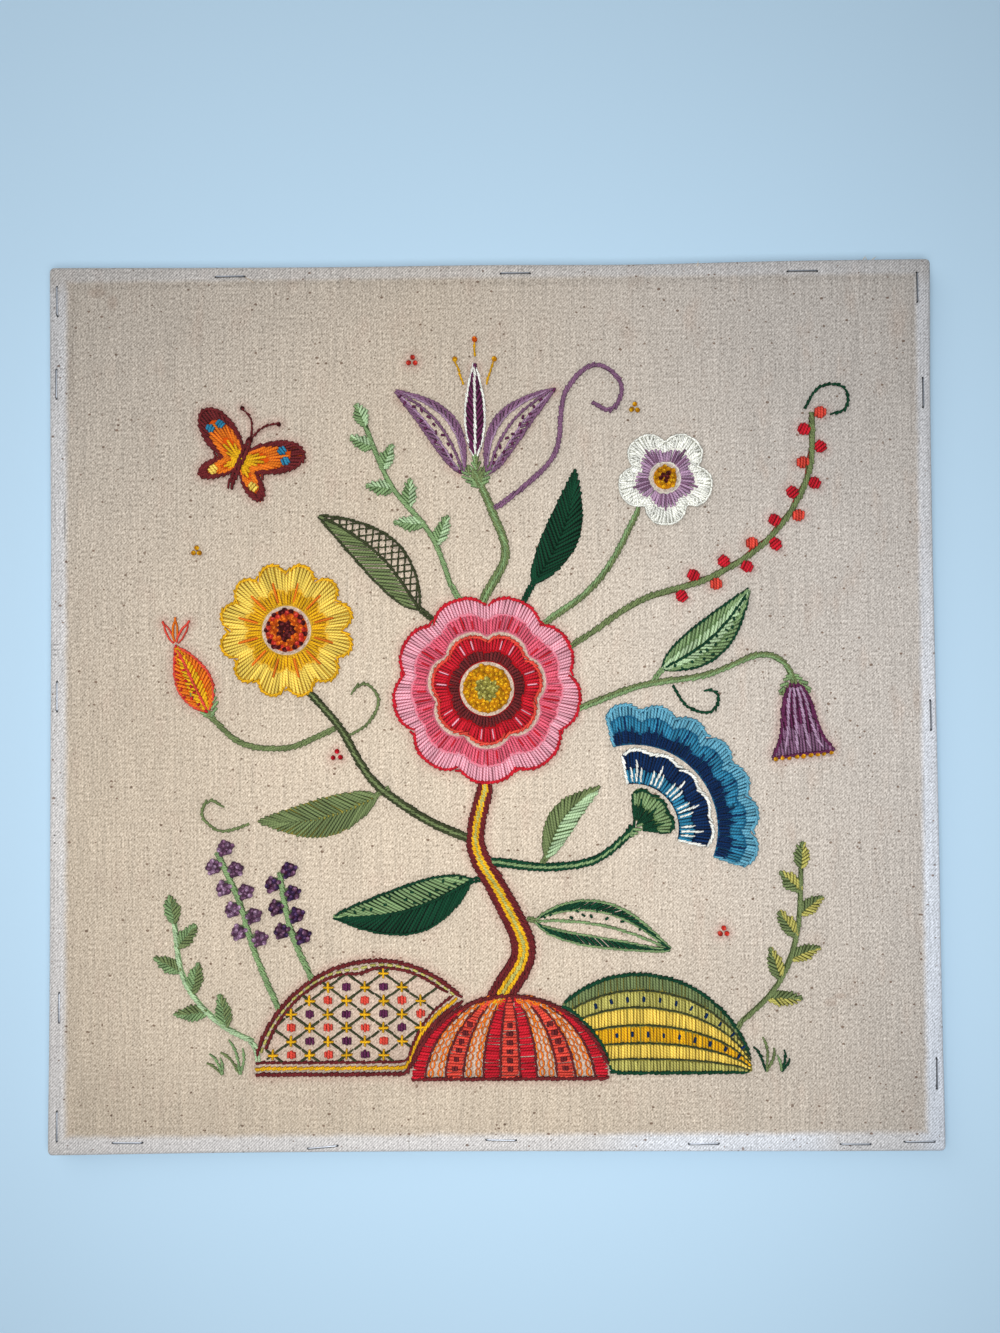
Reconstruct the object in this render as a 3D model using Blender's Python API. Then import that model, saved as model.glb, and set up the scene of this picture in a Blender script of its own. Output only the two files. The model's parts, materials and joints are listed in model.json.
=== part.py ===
"""Crewel wool embroidery on natural twill, stretched over a board and stapled through its margin.

The panel lies on its back. The picture faces +Z with its top towards +Y, and the origin is the
middle of the back. All lengths are millimetres and all angles degrees until a mesh is made.
"""

import math

import bmesh
import bpy
from mathutils import Vector

MM = 0.001

# Panel: the cloth's outside is the panel's outside
SIDE = 355.6
CLOTH_THICKNESS = 1.0
BOARD_THICKNESS = 6.0
GAP = 0.3
TURN_IN = 25.0
CORNER_RADIUS = 2.0
INNER_CORNER_RADIUS = 0.3
FOLD_RADIUS = 1.6
BOARD_CHAMFER = 0.4
MITRE_SLIT = 0.6
CORNER_STEPS = 3
SIDE_STEPS = 9

FRONT = 2 * CLOTH_THICKNESS + 2 * GAP + BOARD_THICKNESS
BOARD_INSET = CLOTH_THICKNESS + GAP

# How far each edge bows in between its corners, counterclockwise, each at seven even places
EDGE_BOWS = (
    ("right", (0.0, 0.4, 0.4, 0.6, 0.9, 0.8, 0.0)),
    ("top", (0.0, 0.2, 1.0, 0.6, 0.8, 0.5, 0.0)),
    ("left", (0.0, 0.3, 0.7, 0.7, 0.6, 0.5, 0.0)),
    ("bottom", (0.0, 0.6, 0.8, 0.7, 0.4, 0.1, 0.0)),
)

# Staples: flat steel wire, a crown and two legs
CROWN_LENGTH = 12.8
LEG_LENGTH = 6.0
WIRE_THICKNESS = 0.55
WIRE_WIDTH = 0.75
WIRE_BEND = 0.8
HOLE_SPARE_DEPTH = 0.4

# Middle of each crown and the crown's direction
STAPLES = (
    # x, y, angle
    (-104.4, 173.0, 0.0),
    (10.7, 173.2, 0.0),
    (126.2, 172.9, 0.0),
    (172.0, 166.0, 90.0),
    (173.6, 123.4, 90.0),
    (174.4, -5.8, 90.0),
    (174.3, -147.2, 90.0),
    (167.2, -173.7, 0.0),
    (141.9, -174.5, 0.0),
    (82.2, -174.1, 0.0),
    (2.2, -172.2, -1.0),
    (-68.4, -174.6, 5.5),
    (-145.8, -172.5, 0.0),
    (-173.7, -166.0, 90.0),
    (-172.9, -119.3, 90.0),
    (-174.0, 4.3, 90.0),
    (-174.5, 130.2, 90.0),
    (-174.3, 163.8, 91.5),
)

# Embroidery: a pad's underside lies a gap above the cloth
PAD_BASE = FRONT + GAP
PAD_RIM = 0.35
PAD_SHOULDER = (0.62, 0.92)
PETAL_DIP = 0.4
TIP_WIDTH = 0.6
NOTCH_SHARPNESS = 1.5
LEAF_TAPER = 0.8
LEAF_FULLNESS = 0.85
LEAF_STEPS = 8
CURVE_SAMPLES = 400
SMOOTH_UP_TO = 40.0

# A pad's cross-section: place across it and share of its height above the rim
CROWNED = ((0.0, 0.0), (0.22, 0.75), (0.5, 1.0), (0.78, 0.75), (1.0, 0.0))
PLAIN = ((0.0, 0.0), (0.5, 1.0), (1.0, 0.0))
VEINED = ((0.0, 0.0), (0.25, 1.0), (0.5, 0.55), (0.75, 1.0), (1.0, 0.0))

# Colours as they look in daylight, red, green and blue out of 255
FINISHES = {
    # colour, roughness, metallic
    "twill": ((205, 184, 158), 0.95, 0.0),
    "board": ((176, 150, 118), 0.85, 0.0),
    "steel": ((112, 116, 124), 0.35, 1.0),
}
WOOL_ROUGHNESS = 0.9
WOOLS = {
    "burgundy": (96, 36, 42),
    "red": (186, 30, 44),
    "coral": (208, 72, 58),
    "orange": (224, 120, 28),
    "gold": (228, 176, 28),
    "yellow": (238, 214, 92),
    "lime": (172, 170, 76),
    "forest": (22, 74, 58),
    "sage": (112, 136, 80),
    "leaf": (140, 190, 126),
    "mint": (164, 200, 162),
    "olive": (60, 66, 42),
    "navy": (24, 58, 118),
    "sky": (46, 138, 190),
    "plum": (96, 44, 84),
    "mauve": (136, 96, 134),
    "lilac": (170, 140, 172),
    "pink": (236, 158, 168),
    "white": (238, 238, 232),
}

# Mounds: arches that stand on one line, the front one hiding the feet of the two behind it
MOUND_POWER = 0.6
MOUND_STEPS = 18
MOUND_COLUMNS = 360
MOUND_GAP = 1.6
MOUNDS = (
    # name, middle x, half width, foot y, crest y, pad height, wool
    ("mound_front", 6.0, 40.0, -148.0, -115.0, 1.0, "coral"),
    ("mound_left", -47.0, 49.0, -146.0, -101.0, 0.8, "burgundy"),
    ("mound_right", 57.0, 45.0, -146.0, -107.0, 0.8, "lime"),
)

# Stems: a ribbon along a smooth curve, tapering from its root; the widest get the fuller section
CROWNED_STEM = 5.0
STEMS = (
    # name, route, root width, end width, steps, pad height, wool
    ("trunk", ((5, -111.6), (12, -97), (3, -76), (-7, -56), (-3, -33.5)), 11.0, 6.0, 14, 1.1, "burgundy"),
    ("tulip_stem", ((-1, 45.5), (6, 60), (1, 76), (-5, 90.5)), 4.0, 3.0, 8, 0.9, "sage"),
    ("daisy_stem", ((-13, -52), (-28, -45), (-48, -30), (-60, -10), (-70, 2)), 4.0, 3.0, 9, 0.9, "olive"),
    ("bud_stem", ((-66.5, -11), (-82, -17), (-100, -15), (-112, -4.5)), 2.6, 2.2, 8, 0.8, "sage"),
    ("carnation_stem", ((3, -63), (22, -65), (41, -62), (54.5, -51.5)), 4.0, 3.0, 8, 0.9, "forest"),
    ("blossom_stem", ((26, 35.5), (38, 44), (48, 56), (56.5, 72)), 3.0, 2.4, 7, 0.8, "leaf"),
    ("bell_stem", ((37.2, -1), (60, 7), (86, 11), (107, 19), (117, 15), (120, 8.5)),
     3.0, 2.2, 12, 0.8, "sage"),
    ("tendril_top", ((10, 84), (26, 100), (30, 124), (42, 136), (53, 128), (49, 117), (41, 121)),
     2.2, 1.8, 18, 0.8, "mauve"),
)

# Leaves and pointed petals: base, tip, full width and sideways bow
LEAVES = (
    # name, base, tip, width, bow, pad height, section, wool
    ("leaf_trunk_left", (-9, -70), (-64, -84), 20.0, 5.0, 1.0, VEINED, "forest"),
    ("leaf_trunk_right", (16.5, -86), (70, -98), 19.0, 4.0, 1.0, VEINED, "mint"),
    ("leaf_low_left", (-46, -36.5), (-94, -46), 16.0, 4.0, 1.0, VEINED, "lime"),
    ("leaf_high_left", (-29, 38), (-69, 76), 18.0, -5.0, 1.0, VEINED, "sage"),
    ("leaf_high_right", (17, 48), (34, 94), 15.0, -4.0, 1.0, VEINED, "forest"),
    ("leaf_side_right", (68, 13.5), (103, 45), 16.0, -4.0, 1.0, VEINED, "leaf"),
    ("leaf_carnation", (21, -61), (43, -33), 12.0, 4.0, 1.0, VEINED, "sage"),
    ("tulip_petal_left", (-11, 92.5), (-38, 126), 14.0, -5.0, 1.1, CROWNED, "lilac"),
    ("tulip_petal_right", (-1, 92.5), (26, 126), 14.0, 5.0, 1.1, CROWNED, "lilac"),
    ("tulip_heart", (-6, 99), (-6, 137), 9.0, 0.0, 1.1, CROWNED, "plum"),
    ("bud", (-113.5, -2), (-126, 24), 15.0, 0.0, 1.2, CROWNED, "orange"),
)

# Rings of petals round a centre, and the round hearts inside them
PETAL_RINGS = (
    # name, centre, inner edge and outer edge as lobes, radius and notch, turn, steps, height, wool
    ("rose_petals", (-2, 6), (7, 23.6, 3.2), (9, 38.0, 4.2), 90.0, 54, 1.1, "pink"),
    ("rose_inner_petals", (-2, 6), (1, 10.6, 0.0), (7, 22.6, 3.2), 90.0, 42, 1.2, "red"),
    ("daisy_petals", (-82, 30), (1, 9.6, 0.0), (12, 27.5, 5.0), 0.0, 60, 1.0, "yellow"),
    ("blossom_petals", (70, 90), (1, 5.8, 0.0), (5, 19.5, 5.5), 18.0, 35, 1.0, "white"),
)
HEARTS = (
    # name, centre, radius, sides, height, wool
    ("rose_heart", (-2, 6), 9.8, 20, 1.3, "gold"),
    ("daisy_heart", (-82, 30), 8.8, 18, 1.3, "orange"),
    ("blossom_heart", (70, 90), 5.0, 14, 1.2, "gold"),
)

# Fans: scalloped bands round a base point
FANS = (
    # name, base, facing, spread, inner radius, outer radius, lobes, notch, steps, height, wool
    ("carnation_petals", (56, -50), 42.0, 62.0, 33.0, 50.0, 7, 3.8, 6, 1.1, "sky"),
    ("carnation_middle", (56, -50), 42.0, 57.0, 17.5, 32.2, 5, 2.2, 6, 1.1, "navy"),
    ("carnation_calyx", (56, -50), 42.0, 50.0, 3.0, 16.6, 3, 2.0, 6, 1.2, "leaf"),
)

# A hanging bell: share of its length and half width there
BELL_BASE = (120.4, 7.4)
BELL_TIP = (123.5, -21)
BELL_HEIGHT = 1.2
BELL_PROFILE = ((0.0, 1.6), (0.1, 4.2), (0.3, 6.2), (0.55, 7.2), (0.8, 9.2), (1.0, 13.0))

# Sprigs and sprays: a stem with leaflets or round beads fused to it, to one side and the other
SPRIG_STEM_WIDTH = 2.4
SPRIG_STEM_HEIGHT = 0.8
SPRIG_STEM_STEPS = 10
LEAFLET_HEIGHT = 0.95
LEAFLET_STEPS = 5
LEAFLET_ROOT = 0.4
LEAFLET_SHRINK = 0.04
BEAD_HEIGHT = 1.2
BEAD_SIDES = 7
FUSED_LIFT = 0.03
SPRIGS = (
    # name, route, leaflets, leaflet length, leaflet width, splay, first place, wool
    ("sprig_right", ((98, -126), (112, -112), (120, -92), (122, -66)), 7, 14.0, 6.4, 48.0, 0.2, "sage"),
    ("sprig_left", ((-16, 47), (-24, 68), (-40, 88), (-50, 112)), 7, 13.0, 6.0, 46.0, 0.24, "leaf"),
    ("sprig_low_left", ((-95.5, -133), (-110, -125), (-123, -109), (-127, -86)),
     6, 14.0, 6.4, 48.0, 0.2, "mint"),
)
SPRAYS = (
    # name, route, beads, bead radius, distance off the stem, first place, wool
    ("berry_spray", ((38.5, 27), (60, 41), (88, 50), (112, 66), (127, 90), (129, 116)),
     15, 2.7, 3.3, 0.3, "red"),
    ("lavender_long", ((-86, -119), (-95, -98), (-101, -78), (-110, -58)), 9, 3.4, 3.6, 0.42, "mauve"),
    ("lavender_short", ((-73, -107), (-78, -96), (-82, -84), (-85, -66)), 7, 3.4, 3.6, 0.36, "plum"),
)

# Butterfly: wings as swellings of one outline, angles from the way it faces
BUTTERFLY_CENTRE = (-100, 98)
BUTTERFLY_FACING = 66.0
BUTTERFLY_BODY = 3.4
BUTTERFLY_STEPS = 44
BUTTERFLY_HEIGHT = 0.9
WING_LOBES = (
    # angle, reach, spread
    (60.0, 23.0, 30.0),
    (130.0, 15.0, 22.0),
)


def clear_scene():
    """Removes whatever the file opened with."""
    for item in list(bpy.data.objects):
        bpy.data.objects.remove(item, do_unlink=True)


def linear(level):
    """A 0 to 255 display level as linear light."""
    share = level / 255
    return share / 12.92 if share <= 0.04045 else ((share + 0.055) / 1.055) ** 2.4


def make_material(name, colour, roughness, metallic):
    """A plain Principled material in a display colour."""
    material = bpy.data.materials.get(name)
    if material is None:
        material = bpy.data.materials.new(name)
        material.use_nodes = True
        shader = material.node_tree.nodes["Principled BSDF"]
        shader.inputs["Base Color"].default_value = (*(linear(level) for level in colour), 1.0)
        shader.inputs["Roughness"].default_value = roughness
        shader.inputs["Metallic"].default_value = metallic
        material.diffuse_color = shader.inputs["Base Color"].default_value
    return material


def finish(name):
    """The material of the cloth, the board or the staples."""
    return make_material(name, *FINISHES[name])


def wool(name):
    """The material of one wool colour."""
    return make_material("wool_" + name, WOOLS[name], WOOL_ROUGHNESS, 0.0)


def add_object(name, mesh_builder, material, smooth=True):
    """Turns a bmesh in millimetres into an object in metres, faces out."""
    bmesh.ops.recalc_face_normals(mesh_builder, faces=mesh_builder.faces)
    bmesh.ops.scale(mesh_builder, vec=(MM, MM, MM), verts=mesh_builder.verts)
    mesh = bpy.data.meshes.new(name)
    mesh_builder.to_mesh(mesh)
    mesh_builder.free()
    if smooth:
        mesh.shade_smooth()
        mesh.set_sharp_from_angle(angle=math.radians(SMOOTH_UP_TO))
    if material is not None:
        mesh.materials.append(material)
    item = bpy.data.objects.new(name, mesh)
    bpy.context.scene.collection.objects.link(item)
    return item


def add_helper(name, mesh_builder):
    """A cutter or an operand, which isn't part of the object."""
    item = add_object(name, mesh_builder, None, smooth=False)
    item.hide_render = True
    item.display_type = "WIRE"
    return item


def add_boolean(item, helper, operation):
    """Cuts or joins with a helper, exactly."""
    modifier = item.modifiers.new(helper.name, "BOOLEAN")
    modifier.operation = operation
    modifier.solver = "EXACT"
    modifier.object = helper


def loft(builder, loops, closed=False):
    """Bridges equal loops in order, and caps the first and last unless the row closes on itself."""
    rows = [[builder.verts.new(point) for point in loop] for loop in loops]
    pairs = list(zip(rows, rows[1:]))
    if closed:
        pairs.append((rows[-1], rows[0]))
    for near, far in pairs:
        for here in range(len(near)):
            following = (here + 1) % len(near)
            builder.faces.new((near[here], near[following], far[following], far[here]))
    if not closed:
        builder.faces.new(rows[0])
        builder.faces.new(rows[-1])


def add_box(builder, centre, size, turn, low, high):
    """A box turned about the vertical, from one height to another."""
    across = Vector((math.cos(turn), math.sin(turn))) * size[0] / 2
    along = Vector((-math.sin(turn), math.cos(turn))) * size[1] / 2
    near = [centre - across - along, centre + across - along]
    far = [centre + across + along, centre - across + along]
    loft(builder, [[(spot.x, spot.y, height) for spot in near + far] for height in (low, high)])


def catmull_rom(before, start, end, after, share):
    """One stretch of a smooth curve through given values or points."""
    return 0.5 * (
        2 * start
        + (end - before) * share
        + (2 * before - 5 * start + 4 * end - after) * share ** 2
        + (3 * start - before - 3 * end + after) * share ** 3
    )


def smooth_at(values, share):
    """The value at a share of the way along a smooth curve through values or points."""
    place = min(max(share, 0.0), 1.0) * (len(values) - 1)
    first = min(int(place), len(values) - 2)
    before = values[max(first - 1, 0)]
    after = values[min(first + 2, len(values) - 1)]
    return catmull_rom(before, values[first], values[first + 1], after, place - first)


def even_path(route, steps, start=0.0):
    """Evenly spaced points along a smooth curve, each with the direction to its left."""
    knots = [Vector(point) for point in route]
    dense = [smooth_at(knots, step / CURVE_SAMPLES) for step in range(CURVE_SAMPLES + 1)]
    reach = [0.0]
    for near, far in zip(dense, dense[1:]):
        reach.append(reach[-1] + (far - near).length)
    path = []
    place = 0
    for step in range(steps + 1):
        target = reach[-1] * (start + (1 - start) * step / steps)
        while place < len(dense) - 2 and reach[place + 1] < target:
            place += 1
        run = dense[place + 1] - dense[place]
        share = (target - reach[place]) / (reach[place + 1] - reach[place])
        left = Vector((-run.y, run.x)).normalized()
        path.append((dense[place] + run * share, left))
    return path


def panel_loop(inset, height):
    """One closed loop round the panel at a distance in from its edge."""
    radius = max(CORNER_RADIUS - inset, INNER_CORNER_RADIUS)
    corner = SIDE / 2 - inset - radius
    loop = []
    for quarter, (_edge, bows) in enumerate(EDGE_BOWS):
        turn = math.radians(90 * quarter)
        spots = []
        for step in range(1, SIDE_STEPS):
            share = step / SIDE_STEPS
            spots.append((SIDE / 2 - inset - smooth_at(bows, share), corner * (2 * share - 1)))
        for step in range(CORNER_STEPS + 1):
            angle = math.radians(90 * step / CORNER_STEPS)
            spots.append((corner + radius * math.cos(angle), corner + radius * math.sin(angle)))
        for x, y in spots:
            turned_x = x * math.cos(turn) - y * math.sin(turn)
            turned_y = x * math.sin(turn) + y * math.cos(turn)
            loop.append((turned_x, turned_y, height))
    return loop


def arc_profile(centre_inset, centre_height, radius, from_angle, steps):
    """Insets and heights round a quarter fold, where angle 0 faces out and 90 faces up."""
    profile = []
    for step in range(steps + 1):
        angle = math.radians(from_angle - 90 * step / steps)
        profile.append((centre_inset - radius * math.cos(angle), centre_height + radius * math.sin(angle)))
    return profile


def add_cloth(leg_cutter):
    """The ground cloth: front, sides and turn-ins as one sheet, mitred at the back corners."""
    inner_fold = FOLD_RADIUS - CLOTH_THICKNESS
    profile = arc_profile(FOLD_RADIUS, FRONT - FOLD_RADIUS, FOLD_RADIUS, 90, 2)
    profile += arc_profile(FOLD_RADIUS, FOLD_RADIUS, FOLD_RADIUS, 0, 2)
    profile += [(TURN_IN, 0.0), (TURN_IN, CLOTH_THICKNESS)]
    profile += reversed(arc_profile(FOLD_RADIUS, FOLD_RADIUS, inner_fold, 0, 1))
    profile += reversed(arc_profile(FOLD_RADIUS, FRONT - FOLD_RADIUS, inner_fold, 90, 1))
    builder = bmesh.new()
    loft(builder, [panel_loop(inset, height) for inset, height in profile])
    cloth = add_object("cloth", builder, finish("twill"), smooth=False)

    slit_start = FOLD_RADIUS + CLOTH_THICKNESS
    slit_end = TURN_IN + CLOTH_THICKNESS
    middle = SIDE / 2 - (slit_start + slit_end) / 2
    length = (slit_end - slit_start) * math.sqrt(2)
    slits = bmesh.new()
    for quarter in range(4):
        turn = math.radians(45 + 90 * quarter)
        centre = Vector((math.cos(turn), math.sin(turn))) * middle * math.sqrt(2)
        add_box(slits, centre, (length, MITRE_SLIT), turn, -CLOTH_THICKNESS, CLOTH_THICKNESS + GAP / 2)
    add_boolean(cloth, add_helper("mitre_cutter", slits), "DIFFERENCE")
    add_boolean(cloth, leg_cutter, "DIFFERENCE")


def add_board(leg_cutter):
    """The board inside the cloth, cut to the same uneven outline."""
    low = CLOTH_THICKNESS + GAP
    high = low + BOARD_THICKNESS
    chamfered = BOARD_INSET + BOARD_CHAMFER
    profile = [(chamfered, low), (BOARD_INSET, low + BOARD_CHAMFER)]
    profile += [(BOARD_INSET, high - BOARD_CHAMFER), (chamfered, high)]
    builder = bmesh.new()
    loft(builder, [panel_loop(inset, height) for inset, height in profile])
    board = add_object("mount_board", builder, finish("board"), smooth=False)
    add_boolean(board, leg_cutter, "DIFFERENCE")


def leg_offset():
    """From the middle of a crown to the middle of a leg."""
    return (CROWN_LENGTH - WIRE_THICKNESS) / 2


def add_leg_cutter():
    """Square holes for the staples' legs, through the cloth's front and into the board."""
    size = (WIRE_THICKNESS + 2 * GAP, WIRE_WIDTH + 2 * GAP)
    low = FRONT + GAP - LEG_LENGTH - HOLE_SPARE_DEPTH
    builder = bmesh.new()
    for x, y, angle in STAPLES:
        turn = math.radians(angle)
        along = Vector((math.cos(turn), math.sin(turn))) * leg_offset()
        for side in (-1, 1):
            add_box(builder, Vector((x, y)) + along * side, size, turn, low, FRONT + CLOTH_THICKNESS)
    return add_helper("leg_cutter", builder)


def add_staples():
    """Bent wire staples, each its own solid."""
    top = FRONT + GAP + WIRE_THICKNESS / 2
    foot = FRONT + GAP - LEG_LENGTH
    leg = leg_offset()
    half_path = [(leg, foot), (leg, top - WIRE_BEND)]
    bend_middle = WIRE_BEND * (1 - math.sqrt(0.5))
    half_path += [(leg - bend_middle, top - bend_middle), (leg - WIRE_BEND, top)]
    path = [Vector((-across, height)) for across, height in half_path]
    path += [Vector(spot) for spot in reversed(half_path)]
    for number, (x, y, angle) in enumerate(STAPLES, start=1):
        turn = math.radians(angle)
        along = Vector((math.cos(turn), math.sin(turn)))
        side = Vector((-along.y, along.x)) * WIRE_WIDTH / 2
        loops = []
        for place, spot in enumerate(path):
            run = path[min(place + 1, len(path) - 1)] - path[max(place - 1, 0)]
            outward = Vector((-run.y, run.x)).normalized() * WIRE_THICKNESS / 2
            loop = []
            for face, flank in ((1, 1), (1, -1), (-1, -1), (-1, 1)):
                point = spot + outward * face
                place_xy = Vector((x, y)) + along * point.x + side * flank
                loop.append((place_xy.x, place_xy.y, point.y))
            loops.append(loop)
        builder = bmesh.new()
        loft(builder, loops)
        add_object(f"staple_{number:02d}", builder, finish("steel"), smooth=False)


def pad_section(left, right, height, section, base=PAD_BASE):
    """One cross-section of a pad, from the foot of one side over the crown to the other foot."""
    points = [(left.x, left.y, base)]
    for across, share in section:
        spot = left.lerp(right, across)
        points.append((spot.x, spot.y, PAD_BASE + PAD_RIM + (height - PAD_RIM) * share))
    points.append((right.x, right.y, base))
    return points


def pad_strip(builder, lefts, rights, heights, section, closed=False, base=PAD_BASE):
    """A low crowned pad between two edges, of one height or with a height at each place."""
    if isinstance(heights, float):
        heights = [heights] * len(lefts)
    places = zip(lefts, rights, heights)
    loops = [pad_section(left, right, height, section, base) for left, right, height in places]
    loft(builder, loops, closed)


def stem_sides(route, root_width, end_width, steps):
    """The two edges of a tapering stem."""
    lefts = []
    rights = []
    for step, (spot, left) in enumerate(even_path(route, steps)):
        half = (root_width + (end_width - root_width) * step / steps) / 2
        lefts.append(spot + left * half)
        rights.append(spot - left * half)
    return lefts, rights


def leaf_sides(base, tip, width, bow, steps=LEAF_STEPS):
    """The two edges of a pointed leaf or petal."""
    base = Vector(base)
    run = Vector(tip) - base
    side = Vector((-run.y, run.x)).normalized()
    lefts = []
    rights = []
    for step in range(steps + 1):
        share = step / steps
        spine = base + run * share + side * bow * math.sin(math.pi * share)
        swell = math.sin(math.pi * share ** LEAF_TAPER)
        half = max(width * abs(swell) ** LEAF_FULLNESS, TIP_WIDTH) / 2
        lefts.append(spine + side * half)
        rights.append(spine - side * half)
    return lefts, rights


def scallop(share, lobes, notch):
    """How far a scalloped edge draws in at a share of its length."""
    return notch * (1 - abs(math.sin(math.pi * lobes * share))) ** NOTCH_SHARPNESS


def polar(centre, radius, angle):
    """A point at a distance and an angle in degrees from a centre."""
    turn = math.radians(angle)
    return Vector(centre) + Vector((math.cos(turn), math.sin(turn))) * radius


def arch(x, middle, half_width, foot, crest):
    """Height of a mound's outline above a place on its foot line."""
    across = min(abs((x - middle) / half_width), 1.0)
    return foot + (crest - foot) * (1 - across ** 2) ** MOUND_POWER


def add_mounds():
    """Three mounds; the feet of the two behind stop short of the front one."""
    _name, front_middle, front_half, front_foot, front_crest, _height, _wool = MOUNDS[0]
    for name, middle, half_width, foot, crest, height, colour in MOUNDS:
        lefts = []
        rights = []
        columns = []
        for step in range(MOUND_COLUMNS + 1):
            x = middle + half_width * (2 * step / MOUND_COLUMNS - 1)
            low = foot
            if name != "mound_front" and abs(x - front_middle) < front_half + MOUND_GAP:
                low = max(low, arch(x, front_middle, front_half, front_foot, front_crest) + MOUND_GAP)
            high = arch(x, middle, half_width, foot, crest)
            if high - low > TIP_WIDTH:
                columns.append((x, low, high))
        for step in range(MOUND_STEPS + 1):
            x, low, high = columns[round(step / MOUND_STEPS * (len(columns) - 1))]
            lefts.append(Vector((x, high)))
            rights.append(Vector((x, low)))
        builder = bmesh.new()
        pad_strip(builder, lefts, rights, height, CROWNED)
        add_object(name, builder, wool(colour))


def add_stems():
    """Trunk, stems and tendrils."""
    for name, route, root_width, end_width, steps, height, colour in STEMS:
        lefts, rights = stem_sides(route, root_width, end_width, steps)
        builder = bmesh.new()
        pad_strip(builder, lefts, rights, height, CROWNED if root_width > CROWNED_STEM else PLAIN)
        add_object(name, builder, wool(colour))


def add_leaves():
    """Leaves, pointed petals and the bud."""
    for name, base, tip, width, bow, height, section, colour in LEAVES:
        lefts, rights = leaf_sides(base, tip, width, bow)
        builder = bmesh.new()
        pad_strip(builder, lefts, rights, height, section)
        add_object(name, builder, wool(colour))


def add_petal_rings():
    """Rings of rounded petals."""
    for name, centre, inner_edge, outer_edge, turn, steps, height, colour in PETAL_RINGS:
        inner_lobes, inner_radius, inner_notch = inner_edge
        petals, radius, notch = outer_edge
        lefts = []
        rights = []
        heights = []
        for step in range(steps):
            share = step / steps
            angle = turn + 360 * share
            lefts.append(polar(centre, inner_radius - scallop(share, inner_lobes, inner_notch), angle))
            rights.append(polar(centre, radius - scallop(share, petals, notch), angle))
            heights.append(height - scallop(share, petals, PETAL_DIP))
        builder = bmesh.new()
        pad_strip(builder, lefts, rights, heights, PLAIN, closed=True)
        add_object(name, builder, wool(colour))


def add_round_pad(builder, outline, centre, height):
    """A crowned pad with any outline that its centre sees all round."""
    shoulder_reach, shoulder_height = PAD_SHOULDER
    shoulder = (shoulder_reach, PAD_BASE + height * shoulder_height)
    rings = ((1.0, PAD_BASE), (1.0, PAD_BASE + PAD_RIM), shoulder)
    rows = []
    for share, level in rings:
        row = []
        for spot in outline:
            place = centre.lerp(spot, share)
            row.append(builder.verts.new((place.x, place.y, level)))
        rows.append(row)
    for near, far in zip(rows, rows[1:]):
        for here in range(len(near)):
            following = (here + 1) % len(near)
            builder.faces.new((near[here], near[following], far[following], far[here]))
    builder.faces.new(rows[0])
    crown = builder.verts.new((centre.x, centre.y, PAD_BASE + height))
    for here in range(len(rows[-1])):
        builder.faces.new((rows[-1][here], rows[-1][(here + 1) % len(rows[-1])], crown))


def add_hearts():
    """Round hearts of the flowers."""
    for name, centre, radius, sides, height, colour in HEARTS:
        outline = [polar(centre, radius, 360 * side / sides) for side in range(sides)]
        builder = bmesh.new()
        add_round_pad(builder, outline, Vector(centre), height)
        add_object(name, builder, wool(colour))


def add_fans():
    """The fan-shaped flower's scalloped bands and its calyx."""
    for name, base, facing, spread, inner, outer, lobes, notch, lobe_steps, height, colour in FANS:
        steps = lobes * lobe_steps
        lefts = []
        rights = []
        heights = []
        for step in range(steps + 1):
            share = step / steps
            angle = facing + spread * (1 - 2 * share)
            lefts.append(polar(base, outer - scallop(share, lobes, notch), angle))
            rights.append(polar(base, inner, angle))
            heights.append(height - scallop(share, lobes, PETAL_DIP))
        builder = bmesh.new()
        pad_strip(builder, lefts, rights, heights, PLAIN)
        add_object(name, builder, wool(colour))


def add_bell():
    """The hanging bell flower."""
    base = Vector(BELL_BASE)
    run = Vector(BELL_TIP) - base
    side = Vector((-run.y, run.x)).normalized()
    lefts = [base + run * share + side * half for share, half in BELL_PROFILE]
    rights = [base + run * share - side * half for share, half in BELL_PROFILE]
    builder = bmesh.new()
    pad_strip(builder, lefts, rights, BELL_HEIGHT, CROWNED)
    add_object("bell", builder, wool("plum"))


def add_butterfly():
    """A butterfly with open wings."""
    outline = []
    for step in range(BUTTERFLY_STEPS):
        angle = 360 * step / BUTTERFLY_STEPS
        from_head = min(angle, 360 - angle)
        radius = BUTTERFLY_BODY
        for lobe_angle, reach, spread in WING_LOBES:
            radius += reach * math.exp(-((from_head - lobe_angle) / spread) ** 2)
        outline.append(polar(BUTTERFLY_CENTRE, radius, BUTTERFLY_FACING + angle))
    builder = bmesh.new()
    add_round_pad(builder, outline, Vector(BUTTERFLY_CENTRE), BUTTERFLY_HEIGHT)
    add_object("butterfly", builder, wool("orange"))


def add_sprig_stem(name, route, colour):
    """The stem of a sprig or a spray."""
    lefts, rights = stem_sides(route, SPRIG_STEM_WIDTH, SPRIG_STEM_WIDTH, SPRIG_STEM_STEPS)
    builder = bmesh.new()
    pad_strip(builder, lefts, rights, SPRIG_STEM_HEIGHT, PLAIN)
    return add_object(name, builder, wool(colour))


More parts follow.
